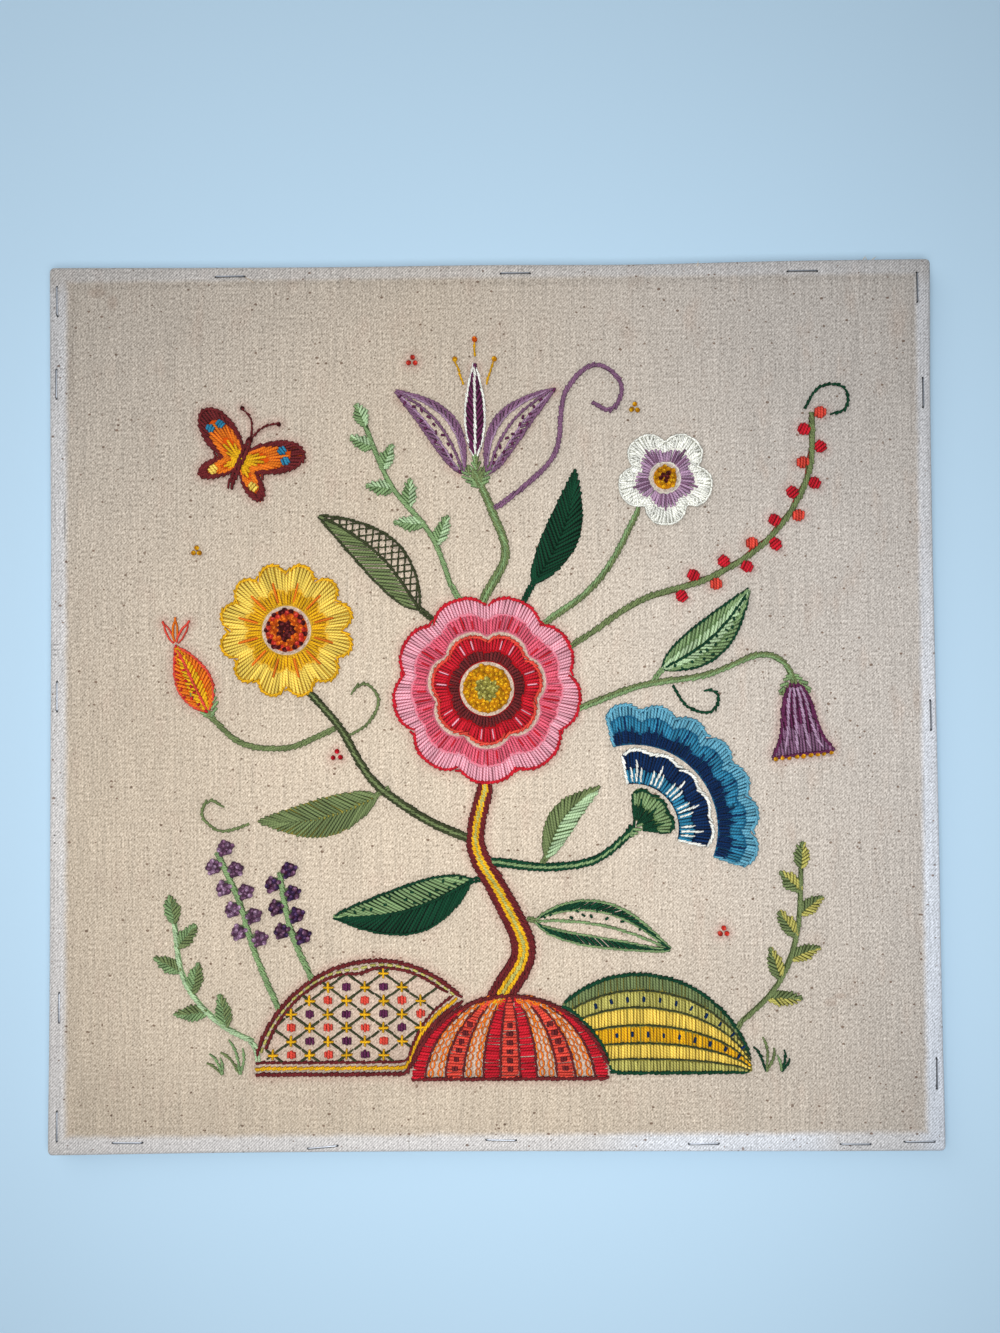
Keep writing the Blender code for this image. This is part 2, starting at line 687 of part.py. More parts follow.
def add_sprigs():
    """Stems with leaflets on both sides, one solid each."""
    for name, route, leaflets, length, width, splay, first, colour in SPRIGS:
        sprig = add_sprig_stem(name, route, colour)
        operand = bmesh.new()
        for number, (spot, left) in enumerate(even_path(route, leaflets - 1, first)):
            side = 1 if number % 2 else -1
            forward = Vector((left.y, -left.x))
            lean = math.radians(splay)
            if number == leaflets - 1:
                lean = 0.0
            way = forward * math.cos(lean) + left * side * math.sin(lean)
            root = spot - way * LEAFLET_ROOT
            tip = spot + way * length * (1 - LEAFLET_SHRINK * number)
            lefts, rights = leaf_sides(root, tip, width, 0.0, LEAFLET_STEPS)
            pad_strip(operand, lefts, rights, LEAFLET_HEIGHT, PLAIN, base=PAD_BASE + FUSED_LIFT)
        add_boolean(sprig, add_helper(name + "_leaflets", operand), "UNION")


def add_sprays():
    """Stems with round beads of stitching close on both sides, one solid each."""
    for name, route, beads, radius, offset, first, colour in SPRAYS:
        spray = add_sprig_stem(name, route, colour)
        operand = bmesh.new()
        for number, (spot, left) in enumerate(even_path(route, beads - 1, first)):
            side = 1 if number % 2 else -1
            centre = spot + left * side * offset
            outline = [polar(centre, radius, 360 * step / BEAD_SIDES) for step in range(BEAD_SIDES)]
            add_round_pad(operand, outline, centre, BEAD_HEIGHT)
        bmesh.ops.translate(operand, vec=(0, 0, FUSED_LIFT), verts=operand.verts)
        add_boolean(spray, add_helper(name + "_beads", operand), "UNION")


def main():
    """Builds the panel, its staples and its embroidery."""
    clear_scene()
    leg_cutter = add_leg_cutter()
    add_board(leg_cutter)
    add_cloth(leg_cutter)
    add_staples()
    add_mounds()
    add_stems()
    add_leaves()
    add_petal_rings()
    add_hearts()
    add_fans()
    add_bell()
    add_butterfly()
    add_sprigs()
    add_sprays()


main()
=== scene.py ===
"""Looks of a crewel embroidery stretched over a board: twill, wool stitches, staples and board.

The panel lies on its back: the picture faces +Z with its top towards +Y. Sizes and places are in
millimetres, as the solids were drawn, and become metres when a mesh is made.
"""

import json
import math
import random

import bmesh
import bpy
from mathutils import Euler, Matrix, Vector, noise
from mathutils.bvhtree import BVHTree
from mathutils.kdtree import KDTree


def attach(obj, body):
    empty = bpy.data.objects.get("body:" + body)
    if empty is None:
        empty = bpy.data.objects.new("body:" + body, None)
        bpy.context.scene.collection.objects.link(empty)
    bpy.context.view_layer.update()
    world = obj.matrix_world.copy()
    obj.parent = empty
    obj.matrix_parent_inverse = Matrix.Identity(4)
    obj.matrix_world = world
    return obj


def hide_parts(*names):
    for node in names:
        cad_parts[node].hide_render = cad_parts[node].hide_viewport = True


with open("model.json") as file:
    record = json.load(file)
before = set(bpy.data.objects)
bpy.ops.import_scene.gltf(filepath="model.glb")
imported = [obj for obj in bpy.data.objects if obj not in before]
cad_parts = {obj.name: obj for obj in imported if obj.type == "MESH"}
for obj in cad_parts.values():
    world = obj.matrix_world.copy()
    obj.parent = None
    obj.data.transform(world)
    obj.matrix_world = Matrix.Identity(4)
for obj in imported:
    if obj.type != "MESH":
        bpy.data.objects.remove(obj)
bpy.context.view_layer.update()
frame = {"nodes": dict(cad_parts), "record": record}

bl_info = {
    "name": "Crewel embroidery on a board",
    "version": (1, 0, 0),
    "blender": (4, 5, 0),
    "location": "3D View > Sidebar > Crewel",
    "description": "Wool embroidery on twill, stretched over a board and stapled through its margin",
    "category": "Add Mesh",
}

MM = 0.001
BODY = "root"

# Panel
SIDE = 355.6
HALF = SIDE / 2
FRONT = 8.6
CLOTH_THICKNESS = 1.0
TURN_IN = 25.0
FOLD_RADIUS = 1.6
CORNER_RADIUS = 2.0
INNER_CORNER_RADIUS = 0.3
# How far the right, top, left and bottom edge lie in from a straight line, corner to corner
EDGE_BOWS = (
    (0.0, 0.4, 0.4, 0.6, 0.9, 0.8, 0.0),
    (0.0, 0.2, 1.0, 0.6, 0.8, 0.5, 0.0),
    (0.0, 0.3, 0.7, 0.7, 0.6, 0.5, 0.0),
    (0.0, 0.6, 0.8, 0.7, 0.4, 0.1, 0.0),
)
# The cut cloth: front, two sides and two turn-ins, less what four rounded folds save
FLAT_SIDE = SIDE + 2 * (FRONT + TURN_IN) - 8 * (1 - math.pi / 4) * FOLD_RADIUS

# The cloth's mesh: steps along a side, those in half a corner, and insets of the rings in the margin
CLOTH_STEPS = 200
CORNER_STEPS = 3
MARGIN_INSETS = (1.6, 2.2, 2.9, 3.7, 4.6, 5.6, 6.8, 8.2)
GRID_INSET = 9.8
FOLD_STEPS = 5
FLANK_SHARES = (0.6, 0.4)
EDGE_EASE = 0.1
BACK_INSETS = (3.5, 6.0, 10.0, 15.0, 20.0, 23.5)
MITRE_SLIT = 0.6
MITRE_SPARE = 0.15
TATTER = 0.9
TATTERS = 160
# Slack waves of the front: size, layer of the noise and share
WAVES = ((48, 4.0, 1.0), (19, 8.0, 0.5))
STILL_RIM = 2.0
RIM_FADE = 12
FRONT_SINK = 0.05
FRONT_SPARE = 0.3
UNMARKED_RIM = 4
FAR_OFF = 1000.0
DIMPLE_REACH = 1.3
HALO_REACH = 2.6
# Reach of the painted shade that darkens the cloth round the stitches
STITCH_SHADE_REACH = 1.7

# Thread ends along the raw edge
FRAY_SEED = 7
FRAY_PITCH = 1.25
FRAY_CLEAR = 2
FRAY_OUT = 0.6
FRAY_LEAN = 16
FRAY_LENGTHS = (1.6, 2.2, 2.8, 4.0)
FRAY_HEIGHTS = (0.25, 0.85)
THREAD_WIDTH = 0.3
THREAD_THICKNESS = 0.26
THREAD_PLAY = 0.06

# Holes, stripes and two dark slubs in the margin: place, half width, half height and darkness
MARKS = (
    (-174.9, -51.0, 0.45, 0.45, 0.75),
    (-174.9, -54.0, 0.45, 0.45, 0.75),
    (-175.0, 21.0, 2.2, 0.45, 0.3),
    (-175.0, 23.0, 2.2, 0.45, 0.3),
    (-175.0, 25.0, 2.2, 0.45, 0.3),
    (-171.0, 74.5, 0.45, 9.0, 0.4),
    (171.2, -40.0, 0.4, 14.0, 0.2),
)

# Brown stains on the front: place, half width and half height
STAINS = (
    (-158.0, 167.0, 5.0, 3.0),
    (-152.0, 163.0, 3.0, 4.0),
    (133.0, -119.0, 3.4, 2.2),
    (136.5, -116.5, 3.4, 1.6),
)

# Broken threads on the rim and the front: place, rise and heading in degrees, length
LOOSE_THREADS = (
    (150.6, 177.2, 7.4, 12.0, 60.0, 2.6),
    (152.6, 177.3, 6.8, 20.0, 110.0, 2.0),
    (154.0, 177.2, 7.6, 5.0, 40.0, 3.0),
    (-98.0, 172.6, 8.6, 6.0, -35.0, 5.0),
    (84.0, 175.4, 8.6, 14.0, 80.0, 2.2),
)

# Stage: the photo's camera, as turns in degrees, shifts and a distance in millimetres
CAMERA_TURN = (-1.299, -0.332, 0.468)
CAMERA_SHIFT = (-3.16, -14.9, 398.81)
CAMERA_LENS = 36 * 1000 / 1333
LAMPS = (
    # name, place in metres, size in metres, share of the daylight
    ("daylight", (-0.8, 0.8, 1.15), 1.5, 1.0),
    ("overhead", (0.01, -0.07, 0.5), 0.3, 0.235),
)
SKY_COLOUR = (0.86, 0.93, 1.0)
FLOOR_SIZE = 6000.0
FLOOR_DROP = 0.35

# Staples
CROWN_LENGTH = 12.8
LEG_LENGTH = 6.0
STAPLE_BEND = 0.9
STAPLE_EASE = 0.6
STAPLE_TIP = 0.1
STAPLE_SIDES = 8
STAPLE_PLAY = 0.01
STAPLES = (
    # x, y, angle
    (-104.4, 173.0, 0.0),
    (10.7, 173.2, 0.0),
    (126.2, 172.9, 0.0),
    (172.0, 166.0, -90.0),
    (173.6, 123.4, -90.0),
    (174.4, -5.8, -90.0),
    (174.3, -147.2, -90.0),
    (167.2, -173.7, 0.0),
    (141.9, -174.5, 0.0),
    (82.2, -174.1, 0.0),
    (2.2, -172.2, -1.0),
    (-68.4, -174.6, 5.5),
    (-145.8, -172.5, 0.0),
    (-173.7, -166.0, -90.0),
    (-172.9, -119.3, -90.0),
    (-174.0, 4.3, -90.0),
    (-174.5, 130.2, -90.0),
    (-174.3, 163.8, -88.5),
)

# Motifs, as the solids have them
PAD_BASE = 8.9
TIP_WIDTH = 0.6
NOTCH_SHARPNESS = 1.5
LEAF_TAPER = 0.8
LEAF_FULLNESS = 0.85
CURVE_SAMPLES = 400
MOUND_POWER = 0.6
MOUND_GAP = 1.6
MOUNDS = {
    # middle x, half width, foot y, crest y
    "mound_front": (6.0, 40.0, -148.0, -115.0),
    "mound_left": (-47.0, 49.0, -146.0, -101.0),
    "mound_right": (57.0, 45.0, -146.0, -107.0),
}
STEMS = {
    # route, root width, end width
    "trunk": (((5, -111.6), (12, -97), (3, -76), (-7, -56), (-3, -33.5)), 11.0, 6.0),
    "tulip_stem": (((-1, 45.5), (6, 60), (1, 76), (-5, 90.5)), 4.0, 3.0),
    "daisy_stem": (((-13, -52), (-28, -45), (-48, -30), (-60, -10), (-70, 2)), 4.0, 3.0),
    "bud_stem": (((-66.5, -11), (-82, -17), (-100, -15), (-112, -4.5)), 2.6, 2.2),
    "carnation_stem": (((3, -63), (22, -65), (41, -62), (54.5, -51.5)), 4.0, 3.0),
    "blossom_stem": (((26, 35.5), (38, 44), (48, 56), (56.5, 72)), 3.0, 2.4),
    "bell_stem": (((37.2, -1), (60, 7), (86, 11), (107, 19), (117, 15), (120, 8.5)), 3.0, 2.2),
    "tendril_top": (((10, 84), (26, 100), (30, 124), (42, 136), (53, 128), (49, 117), (41, 121)), 2.2, 1.8),
}
LEAVES = {
    # base, tip, width, bow
    "leaf_trunk_left": ((-9, -70), (-64, -84), 20.0, 5.0),
    "leaf_trunk_right": ((16.5, -86), (70, -98), 19.0, 4.0),
    "leaf_low_left": ((-46, -36.5), (-94, -46), 16.0, 4.0),
    "leaf_high_left": ((-29, 38), (-69, 76), 18.0, -5.0),
    "leaf_high_right": ((17, 48), (34, 94), 15.0, -4.0),
    "leaf_side_right": ((68, 13.5), (103, 45), 16.0, -4.0),
    "leaf_carnation": ((21, -61), (43, -33), 12.0, 4.0),
    "tulip_petal_left": ((-11, 92.5), (-38, 126), 14.0, -5.0),
    "tulip_petal_right": ((-1, 92.5), (26, 126), 14.0, 5.0),
    "tulip_heart": ((-6, 99), (-6, 137), 9.0, 0.0),
    "bud": ((-113.5, -2), (-126, 24), 15.0, 0.0),
}
PETAL_RINGS = {
    # centre, inner edge and outer edge as lobes, radius and notch, turn
    "rose_petals": ((-2, 6), (7, 23.6, 3.2), (9, 38.0, 4.2), 90.0),
    "rose_inner_petals": ((-2, 6), (1, 10.6, 0.0), (7, 22.6, 3.2), 90.0),
    "daisy_petals": ((-82, 30), (1, 9.6, 0.0), (12, 27.5, 5.0), 0.0),
    "blossom_petals": ((70, 90), (1, 5.8, 0.0), (5, 19.5, 5.5), 18.0),
}
HEARTS = {
    # centre, radius
    "rose_heart": ((-2, 6), 9.8),
    "daisy_heart": ((-82, 30), 8.8),
    "blossom_heart": ((70, 90), 5.0),
}
FANS = {
    # base, facing, spread, inner radius, outer radius, lobes, notch
    "carnation_petals": ((56, -50), 42.0, 62.0, 33.0, 50.0, 7, 3.8),
    "carnation_middle": ((56, -50), 42.0, 57.0, 17.5, 32.2, 5, 2.2),
    "carnation_calyx": ((56, -50), 42.0, 50.0, 3.0, 16.6, 3, 2.0),
}
BELL_BASE = (120.4, 7.4)
BELL_TIP = (123.5, -21)
BELL_PROFILE = ((0.0, 1.6), (0.1, 4.2), (0.3, 6.2), (0.55, 7.2), (0.8, 9.2), (1.0, 13.0))
LEAFLET_SHRINK = 0.04
SPRIGS = {
    # route, leaflets, leaflet length, leaflet width, splay, first place
    "sprig_right": (((98, -126), (112, -112), (120, -92), (122, -66)), 7, 14.0, 6.4, 48.0, 0.2),
    "sprig_left": (((-16, 47), (-24, 68), (-40, 88), (-50, 112)), 7, 13.0, 6.0, 46.0, 0.24),
    "sprig_low_left": (((-95.5, -133), (-110, -125), (-123, -109), (-127, -86)), 6, 14.0, 6.4, 48.0, 0.2),
}
SPRAYS = {
    # route, beads, bead radius, distance off the stem, first place
    "berry_spray": (((38.5, 27), (60, 41), (88, 50), (112, 66), (127, 90), (129, 116)), 15, 2.7, 3.3, 0.3),
    "lavender_long": (((-86, -119), (-95, -98), (-101, -78), (-110, -58)), 9, 3.4, 3.6, 0.42),
    "lavender_short": (((-73, -107), (-78, -96), (-82, -84), (-85, -66)), 7, 3.4, 3.6, 0.36),
}
BUTTERFLY_CENTRE = (-100, 98)
BUTTERFLY_FACING = 66.0
BUTTERFLY_BODY = 3.4
WING_LOBES = ((60.0, 23.0, 30.0), (130.0, 15.0, 22.0))

# Steps along the motifs' lines, and how far stitches keep in from the solids' edges
MOUND_STEPS = 90
MERIDIAN_STEPS = 30
MERIDIAN_TOP = 0.97
MERIDIAN_INSET = 0.8
MERIDIAN_FOOT = 0.6
STEM_STEPS = 60
# Points of a curve that give the direction of its end
END_POINTS = 8
WALKED_STEPS = 20
STEM_INSET = 0.7
NARROWEST_STEM = 0.2
LEAF_INSET = 1.0
LEAFLET_INSET = 0.6
LEAFLET_STEPS = 10
LEAFLET_PITCH = 1.2
LEAFLET_LEAN = 0.2
PETAL_INSET = 0.6
RING_CLEAR = 0.4
FAN_CLEAR = 0.3
FAN_INSET = 0.8
RING_LOBE_STEPS = 16
FAN_LOBE_STEPS = 12
WING_STEPS = 120
WING_INSET = 0.5

# How each motif is worked: the mounds first, then stems, leaves, flowers, butterfly and small things
CHAIN_SHARES = (0.26, 0.74)
RIB_DOT = 1.1
RIB_DOTS = 6
RIB_DOTS_END = 24
RIB_LINES_END = 28
RIB_PLACES = (-11, -9.4, -7.2, -5.2, -3.0, -1.1, 1.1, 3.0, 5.2, 7.2, 9.4, 11)
RIB_COLOURS = ("red", "orange", "coral", "orange", "red", "coral", "red", "orange", "coral", "orange", "red")
TRELLIS_INSET = 5.2
TRELLIS_CLEAR = 5.0
TRELLIS_PITCH = 8.6
TRELLIS_ANGLES = (36, 144)
CROSS_ARM = 2.3
DOT_ROOM = 2.3
TRELLIS_DOT = 1.7
# The dashes along the left mound's crest: distance in from it, from dash to dash, share that is yarn
DASH_INSET = 2.9
DASH_REACH = 3.4
DASH_SHARE = 0.7
LEFT_FOOT_ROWS = (
    # height above the foot, colour, width of the yarn
    (0.0, "burgundy", 1.1),
    (2.4, "gold", 1.0),
    (4.8, "burgundy", 0.8),
)
MOUND_SEED_SHARES = (0.255, 0.61)
MOUND_SEED_PITCH = 6.4
MOUND_SEED_LENGTH = 2.4
ARC_SHARES = (0.0, 0.17, 0.34, 0.52, 0.7, 0.86, 1.0)
ARC_COLOURS = ("sage", "lime", "yellow", "gold", "yellow", "lime")
STEM_WORK = {
    # rows from left to right, width of the yarn, reach past the root and past the end
    "trunk": (("burgundy", "burgundy", "gold", "lime", "gold", "burgundy", "burgundy"), 1.25, 9.0, 2.2),
    "tulip_stem": (("sage", "leaf", "sage"), 1.0, 6.2, 4.0),
    "daisy_stem": (("olive", "sage", "olive"), 1.0, 3.4, 4.6),
    "bud_stem": (("sage", "sage"), 0.95, 4.4, 2.4),
    "carnation_stem": (("forest", "leaf", "forest"), 1.0, 4.0, 2.6),
    "blossom_stem": (("leaf", "sage"), 1.0, 6.5, 7.2),
    "bell_stem": (("sage", "leaf"), 1.0, 3.0, 1.2),
    "tendril_top": (("mauve", "mauve"), 0.85, 0.0, 0.0),
}
STALKS = (
    # route, colour
    (((-3, -68.5), (-6, -69.5), (-11, -70.8)), "forest"),
    (((13, -85), (15, -85.6), (19, -86.8)), "sage"),
    (((-41, -33.2), (-44, -34.6), (-48, -37)), "sage"),
    (((-21.6, 32), (-25.6, 35.6), (-31, 40)), "olive"),
    (((11.4, 38.4), (14.6, 44), (18.6, 51.5)), "forest"),
    (((64, 8), (66, 11), (70.5, 16)), "leaf"),
    (((18.5, -65), (20, -62.6), (23, -58.6)), "sage"),
    (((-12.6, 41.4), (-14.2, 44.4), (-16.4, 48.5)), "leaf"),
    (((31, 22.4), (35, 25), (39.5, 27.8)), "sage"),
    (((93.4, -132), (95.6, -129.2), (98.6, -125.2)), "sage"),
    (((-94, -141), (-94.2, -136.6), (-96.6, -132.4)), "mint"),
    (((-85.4, -122), (-85.8, -120), (-87, -116.5)), "leaf"),
    (((-72.4, -109.6), (-72.6, -108), (-73.8, -105)), "leaf"),
    (((0.4, 78), (4.4, 80), (10.5, 84.6)), "mauve"),
)
CALYXES = (
    # base, tip, width, left half and right half
    ((-5.2, 87), (-12.5, 97.5), 5.0, "leaf", "sage"),
    ((-5.2, 87), (1.2, 97.5), 5.0, "sage", "leaf"),
    ((-5.2, 87), (-5.9, 100.5), 5.2, "leaf", "sage"),
    ((-112.4, -4.4), (-120.5, 5.5), 4.4, "leaf", "sage"),
    ((-112.4, -4.4), (-111.5, 7.5), 4.4, "sage", "leaf"),
    ((119.8, 10.5), (114.6, 2.5), 4.0, "sage", "leaf"),
    ((119.8, 10.5), (126.6, 3.5), 4.0, "leaf", "sage"),
    ((53.3, -52.4), (59.7, -46.7), 4.6, "forest", "leaf"),
)
LEAF_WORK = {
    # style, left half, right half, vein, colour next to the vein, seeds and the half that has them
    "leaf_trunk_left": ("halves", "forest", "leaf", "forest", None, "forest", 1),
    "leaf_trunk_right": ("open", "forest", "forest", "leaf", "leaf", "forest", 0),
    "leaf_low_left": ("fishbone", "sage", "sage", "sage", None, None, 0),
    "leaf_high_left": ("lattice", "sage", "olive", "olive", None, None, 0),
    "leaf_high_right": ("fishbone", "forest", "forest", "forest", None, None, 0),
    "leaf_side_right": ("banded", "leaf", "leaf", "forest", "mint", "forest", 1),
    "leaf_carnation": ("fishbone", "sage", "mint", "sage", None, None, 0),
    "tulip_petal_left": ("open", "mauve", "mauve", "mauve", "lilac", "plum", 0),
    "tulip_petal_right": ("open", "mauve", "mauve", "mauve", "lilac", "plum", 1),
    "tulip_heart": ("halves", "plum", "plum", "white", None, None, 0),
    "bud": ("banded", "orange", "orange", "coral", "gold", "red", 0),
}
LATTICE_PITCH = 2.7
LATTICE_LEAN = 50
LEAF_SLANT = -0.08
BAND_SLANT = -0.05
BAND_ENDS = (0.05, 0.95)
VEIN_ENDS = (0.02, 0.96)
SEEDS_IN_HALF = 16
SEED_BORDERS = (0.14, 0.86)
# How far the outer colour of a leaf in two colours reaches in from its edge
LEAF_OUTER_SHARES = {"open": 0.44, "banded": 0.52}

PETAL_WORK = {
    # zones from share to share of a petal, then what lies on them: a rim's colour, width and level; the
    # colour of lines, their places from a petal's middle, their reach from share to share and their
    # width; the colours of a fan's edge and ribs
    "rose_petals": (
        ((0, 0.5, "rose"), (0.5, 1, "pink")),
        ("rim", "red", 0.95, 0.15),
        ("lines", "red", (0.0,), (0.05, 0.5), 0.6),
        ("lines", "red", (-0.2, 0.2), (0.05, 0.34), 0.6),
    ),
    "rose_inner_petals": (
        ((0, 0.42, "burgundy"), (0.42, 1, "red")),
        ("rim", "coral", 0.9, 0.25),
        ("lines", "pink", (-0.14, 0.14), (0.45, 0.86), 0.55),
    ),
    "daisy_petals": (
        ((0, 0.4, "gold"), (0.4, 1, "yellow")),
        ("lines", "orange", (0.0,), (0.06, 0.6), 0.75),
        ("rim", "gold", 0.85, 0.12),
    ),
    "blossom_petals": (
        ((0, 0.5, "lilac"), (0.5, 1, "white")),
        ("edging", "white"),
        ("lines", "mauve", (0.0,), (0.02, 0.62), 0.7),
        ("lines", "mauve", (-0.16, 0.16), (0.02, 0.42), 0.6),
    ),
    "carnation_petals": (((0, 0.36, "navy"), (0.36, 0.7, "sky"), (0.7, 1, "aqua")), ("fan", "aqua", "navy")),
    "carnation_middle": (((0, 0.46, "sky"), (0.46, 1, "navy")), ("fan", "white", "white")),
    "carnation_calyx": (((0, 0.5, "forest"), (0.5, 1, "leaf")), ("fan", "forest", "forest")),
}
# The three ribs of a lobe: place across it and reach along it, as shares
FAN_RIBS = ((0.5, 0.72), (0.28, 0.5), (0.72, 0.5))
HEART_WORK = {
    # inset, number of knots, their colours from the middle outwards, size
    "rose_heart": (0.8, 96, ("lime", "gold", "gold", "gold"), 2.3),
    "daisy_heart": (0.8, 76, ("burgundy", "orange", "orange", "coral", "burgundy"), 2.3),
    "blossom_heart": (0.7, 20, ("burgundy", "gold", "gold", "gold"), 2.1),
}
BELL_INSET = 0.5
BELL_VEIN_ENDS = (0.12, 0.94)
BELL_KNOTS = 9
BELL_KNOTS_OUT = 0.6
BELL_STITCH = 6.0
BELL_PLUM_SHARE = 0.62
BELL_VEINS = (0.16, 0.38, 0.62, 0.84)
WING_ZONES = ((0, 0.4, "gold"), (0.4, 0.76, "orange"), (0.76, 1, "burgundy"))
WING_SPOTS = (
    # angle from the head, distance, radius, colour
    (52, 17, 1.7, "sky"),
    (66, 18, 1.7, "sky"),
    (-52, 17, 1.7, "sky"),
    (-66, 18, 1.7, "sky"),
    (130, 11.5, 1.9, "yellow"),
    (-130, 11.5, 1.9, "yellow"),
)
WING_ROOT = 0.8
BODY_ENDS = (9.5, -12.0)
BODY_ROWS = (-0.7, 0.7)
HEAD_KNOT = 2.6
FEELER_KNOT = 1.9
# Distance and angle from the head along a feeler
FEELER = ((5, 16), (10, 26), (13, 38))
# Widths of the stems at the root and at the end
SPRIG_STEM = (2.0, 1.6)
SPRAY_STEM = (2.5, 2.1)
BUNCH_INSET = 0.5
BEAD_INSET = 0.3
BEAD_TURNS = (40, 65, 90)
SPRIG_WORK = {
    # stem, left half and right half of a leaflet
    "sprig_right": ("sage", "sage", "lime"),
    "sprig_left": ("leaf", "leaf", "mint"),
    "sprig_low_left": ("mint", "leaf", "sage"),
}
SPRAY_WORK = {
    # stem, colours of the beads, knots in a bead or 0 for one round dot
    "berry_spray": ("sage", ("red", "red", "coral"), 0),
    "lavender_long": ("leaf", ("mauve", "lilac"), 9),
    "lavender_short": ("leaf", ("violet", "mauve"), 9),
}
GRASS = (
    # x, y, length, lean in degrees
    (-101, -146, 15, 98),
    (-108, -146, 10, 110),
    (107, -146, 14, 84),
    (113, -146, 9, 70),
)
# The three blades of a tuft: turn from its lean and share of its length; how each bends
BLADES = ((-24, 0.72), (0, 1.0), (22, 0.8))
BLADE_MIDDLE = 0.55
BLADE_BEND = 9
STAMEN_KNOT = 2.3
KNOT_GROUP_REACH = 1.5
STALK_ROWS = (-0.55, 0.55)
STALK_STEPS = 12
CALYX_LEAN = 0.25
STAMENS = (
    # base, angle, length, colour of the knot
    ((-10.5, 128), 108, 11, "gold"),
    ((-6, 139.5), 90, 7, "orange"),
    ((-1.5, 128), 72, 11, "gold"),
)
LONE_KNOTS = (
    # x, y, colour
    (-31, 138, "coral"),
    (58, 118, "gold"),
    (-62, -20, "red"),
    (96, -40, "sky"),
    (-118, 62, "gold"),
    (91, -91, "coral"),
)
CURLS = (
    # route, colour
    (((126, 117), (132, 126), (142, 126), (143, 117), (136, 115)), "forest"),
    (((-58, -12.4), (-50, -8), (-45, 2), (-51, 9), (-57, 4)), "sage"),
    (((72, 7), (78, -2), (88, -4), (90, 4), (84, 5)), "forest"),
    (((-97, -47), (-108, -50), (-116, -44), (-113, -37), (-107, -41)), "sage"),
)
DAISY_LOOPS = (
    # base, tip, colour
    ((-127, 25), (-131, 33), "coral"),
    ((-126.5, 25.5), (-126.5, 34.5), "orange"),
    ((-126, 25), (-121.5, 33), "coral"),
)

# Wools, as they look in daylight, red, green and blue out of 255
WOOLS = {
    "burgundy": (100, 36, 38),
    "red": (186, 30, 44),
    "coral": (208, 72, 58),
    "orange": (214, 112, 30),
    "gold": (212, 161, 26),
    "yellow": (224, 194, 86),
    "lime": (172, 166, 90),
    "forest": (18, 60, 40),
    "sage": (106, 120, 78),
    "leaf": (122, 148, 102),
    "mint": (164, 188, 148),
    "olive": (60, 66, 42),
    "navy": (14, 40, 78),
    "sky": (46, 120, 152),
    "aqua": (94, 154, 176),
    "plum": (92, 40, 74),
    "violet": (84, 58, 98),
    "mauve": (122, 87, 114),
    "lilac": (162, 132, 158),
    "pink": (219, 155, 169),
    "rose": (206, 90, 110),
    "white": (228, 228, 220),
}

# Colours that show in places, red, green and blue out of 255
BLUSH = (206, 176, 154)
LIT_YARN = (240, 236, 230)
STAIN = (150, 112, 88)
RUN_DYE = (190, 104, 96)
RUST = (104, 72, 50)
FOXING = (132, 96, 62)
SCRAPE = (206, 188, 160)

DYES_THAT_RUN = ("burgundy", "red", "coral", "plum")

# One stitch of yarn: place along it, width, height of its middle and thickness, as shares
STITCH_RINGS = (
    (0.02, 0.6, -0.4, 0.5),
    (0.09, 0.94, 0.16, 0.9),
    (0.30, 1.0, 0.34, 1.0),
    (0.70, 1.0, 0.34, 1.0),
    (0.91, 0.94, 0.16, 0.9),
    (0.98, 0.6, -0.4, 0.5),
)
STITCH_SIDES = 6
STITCH_TIP = -0.9
KNOT_RINGS = ((0.42, -0.35), (0.5, 0.15), (0.42, 0.62), (0.2, 0.8))
KNOT_DIMPLE = 0.55
KNOT_SIDES = 8
KNOT_FOOT = -0.5

# How the stitches are worked, in millimetres, degrees or shares of a width
SHORTEST_STITCH = 0.5
STITCH_PITCH = 1.28
STITCH_PLAY = 0.19
TONE_PLAY = (0.8, 1.22)
KNOT_SIZE = 2.1
KNOT_PLAY = 0.2
KNOT_TILT = 0.2
KNOT_RISE = (0.5, 0.62)
KNOT_LEVEL = 0.3
GOLDEN_ANGLE = 137.5
LINE_REACH = 2.1
LINE_LEAN = 0.46
LINE_SHARE = 0.82
LINE_START_SHARE = 0.8
CHAIN_LINK = 3.2
CHAIN_BREADTH = 2.1
CHAIN_OVERLAP = 1.12
CHAIN_WIDTH = 0.62
LOOP_HOLD = (0.92, 1.15)
LOOP_WIDTH = 0.7
EDGING_PITCH = 1.9
EDGING_SPOKE = 3.4
EDGING_WIDTH = 0.7
EDGING_OVERLAP = 1.1
DOT_PITCH = 0.86
DOT_SPARE = 0.15
DOT_THICKNESS = 1.25
RIB_PITCH = 1.42
RIB_LEAN = 0.16
# Where along a leaf its ribs start and how far they go on, as shares
RIB_FIRST = 0.04
RIB_SPAN = 0.94
RIB_SPIKE = (0.1, 1.1)
RIB_CROSSING = 0.35
SPINE_TIP = 0.86
FILL_LEAST = 0.6
FILL_REACH = (0.75, 1.2)
FILL_FIRST = (1.0, 0.62)
FILL_REST = 0.4
FILL_OVERLAP = 0.5
LAID_LEAST = 0.3
LAID_REACH = 4.0
LAID_OVERLAP = 1.06
RAY_PLAY = 0.02
RAY_SAMPLES = 24
SEED_TRIES = 60
SEED_ROOM = 2.6
SEED_LENGTH = 1.7
SEED_WIDTH = 0.75
CROSS_WIDTH = 0.8
RIM_INSET = 0.5

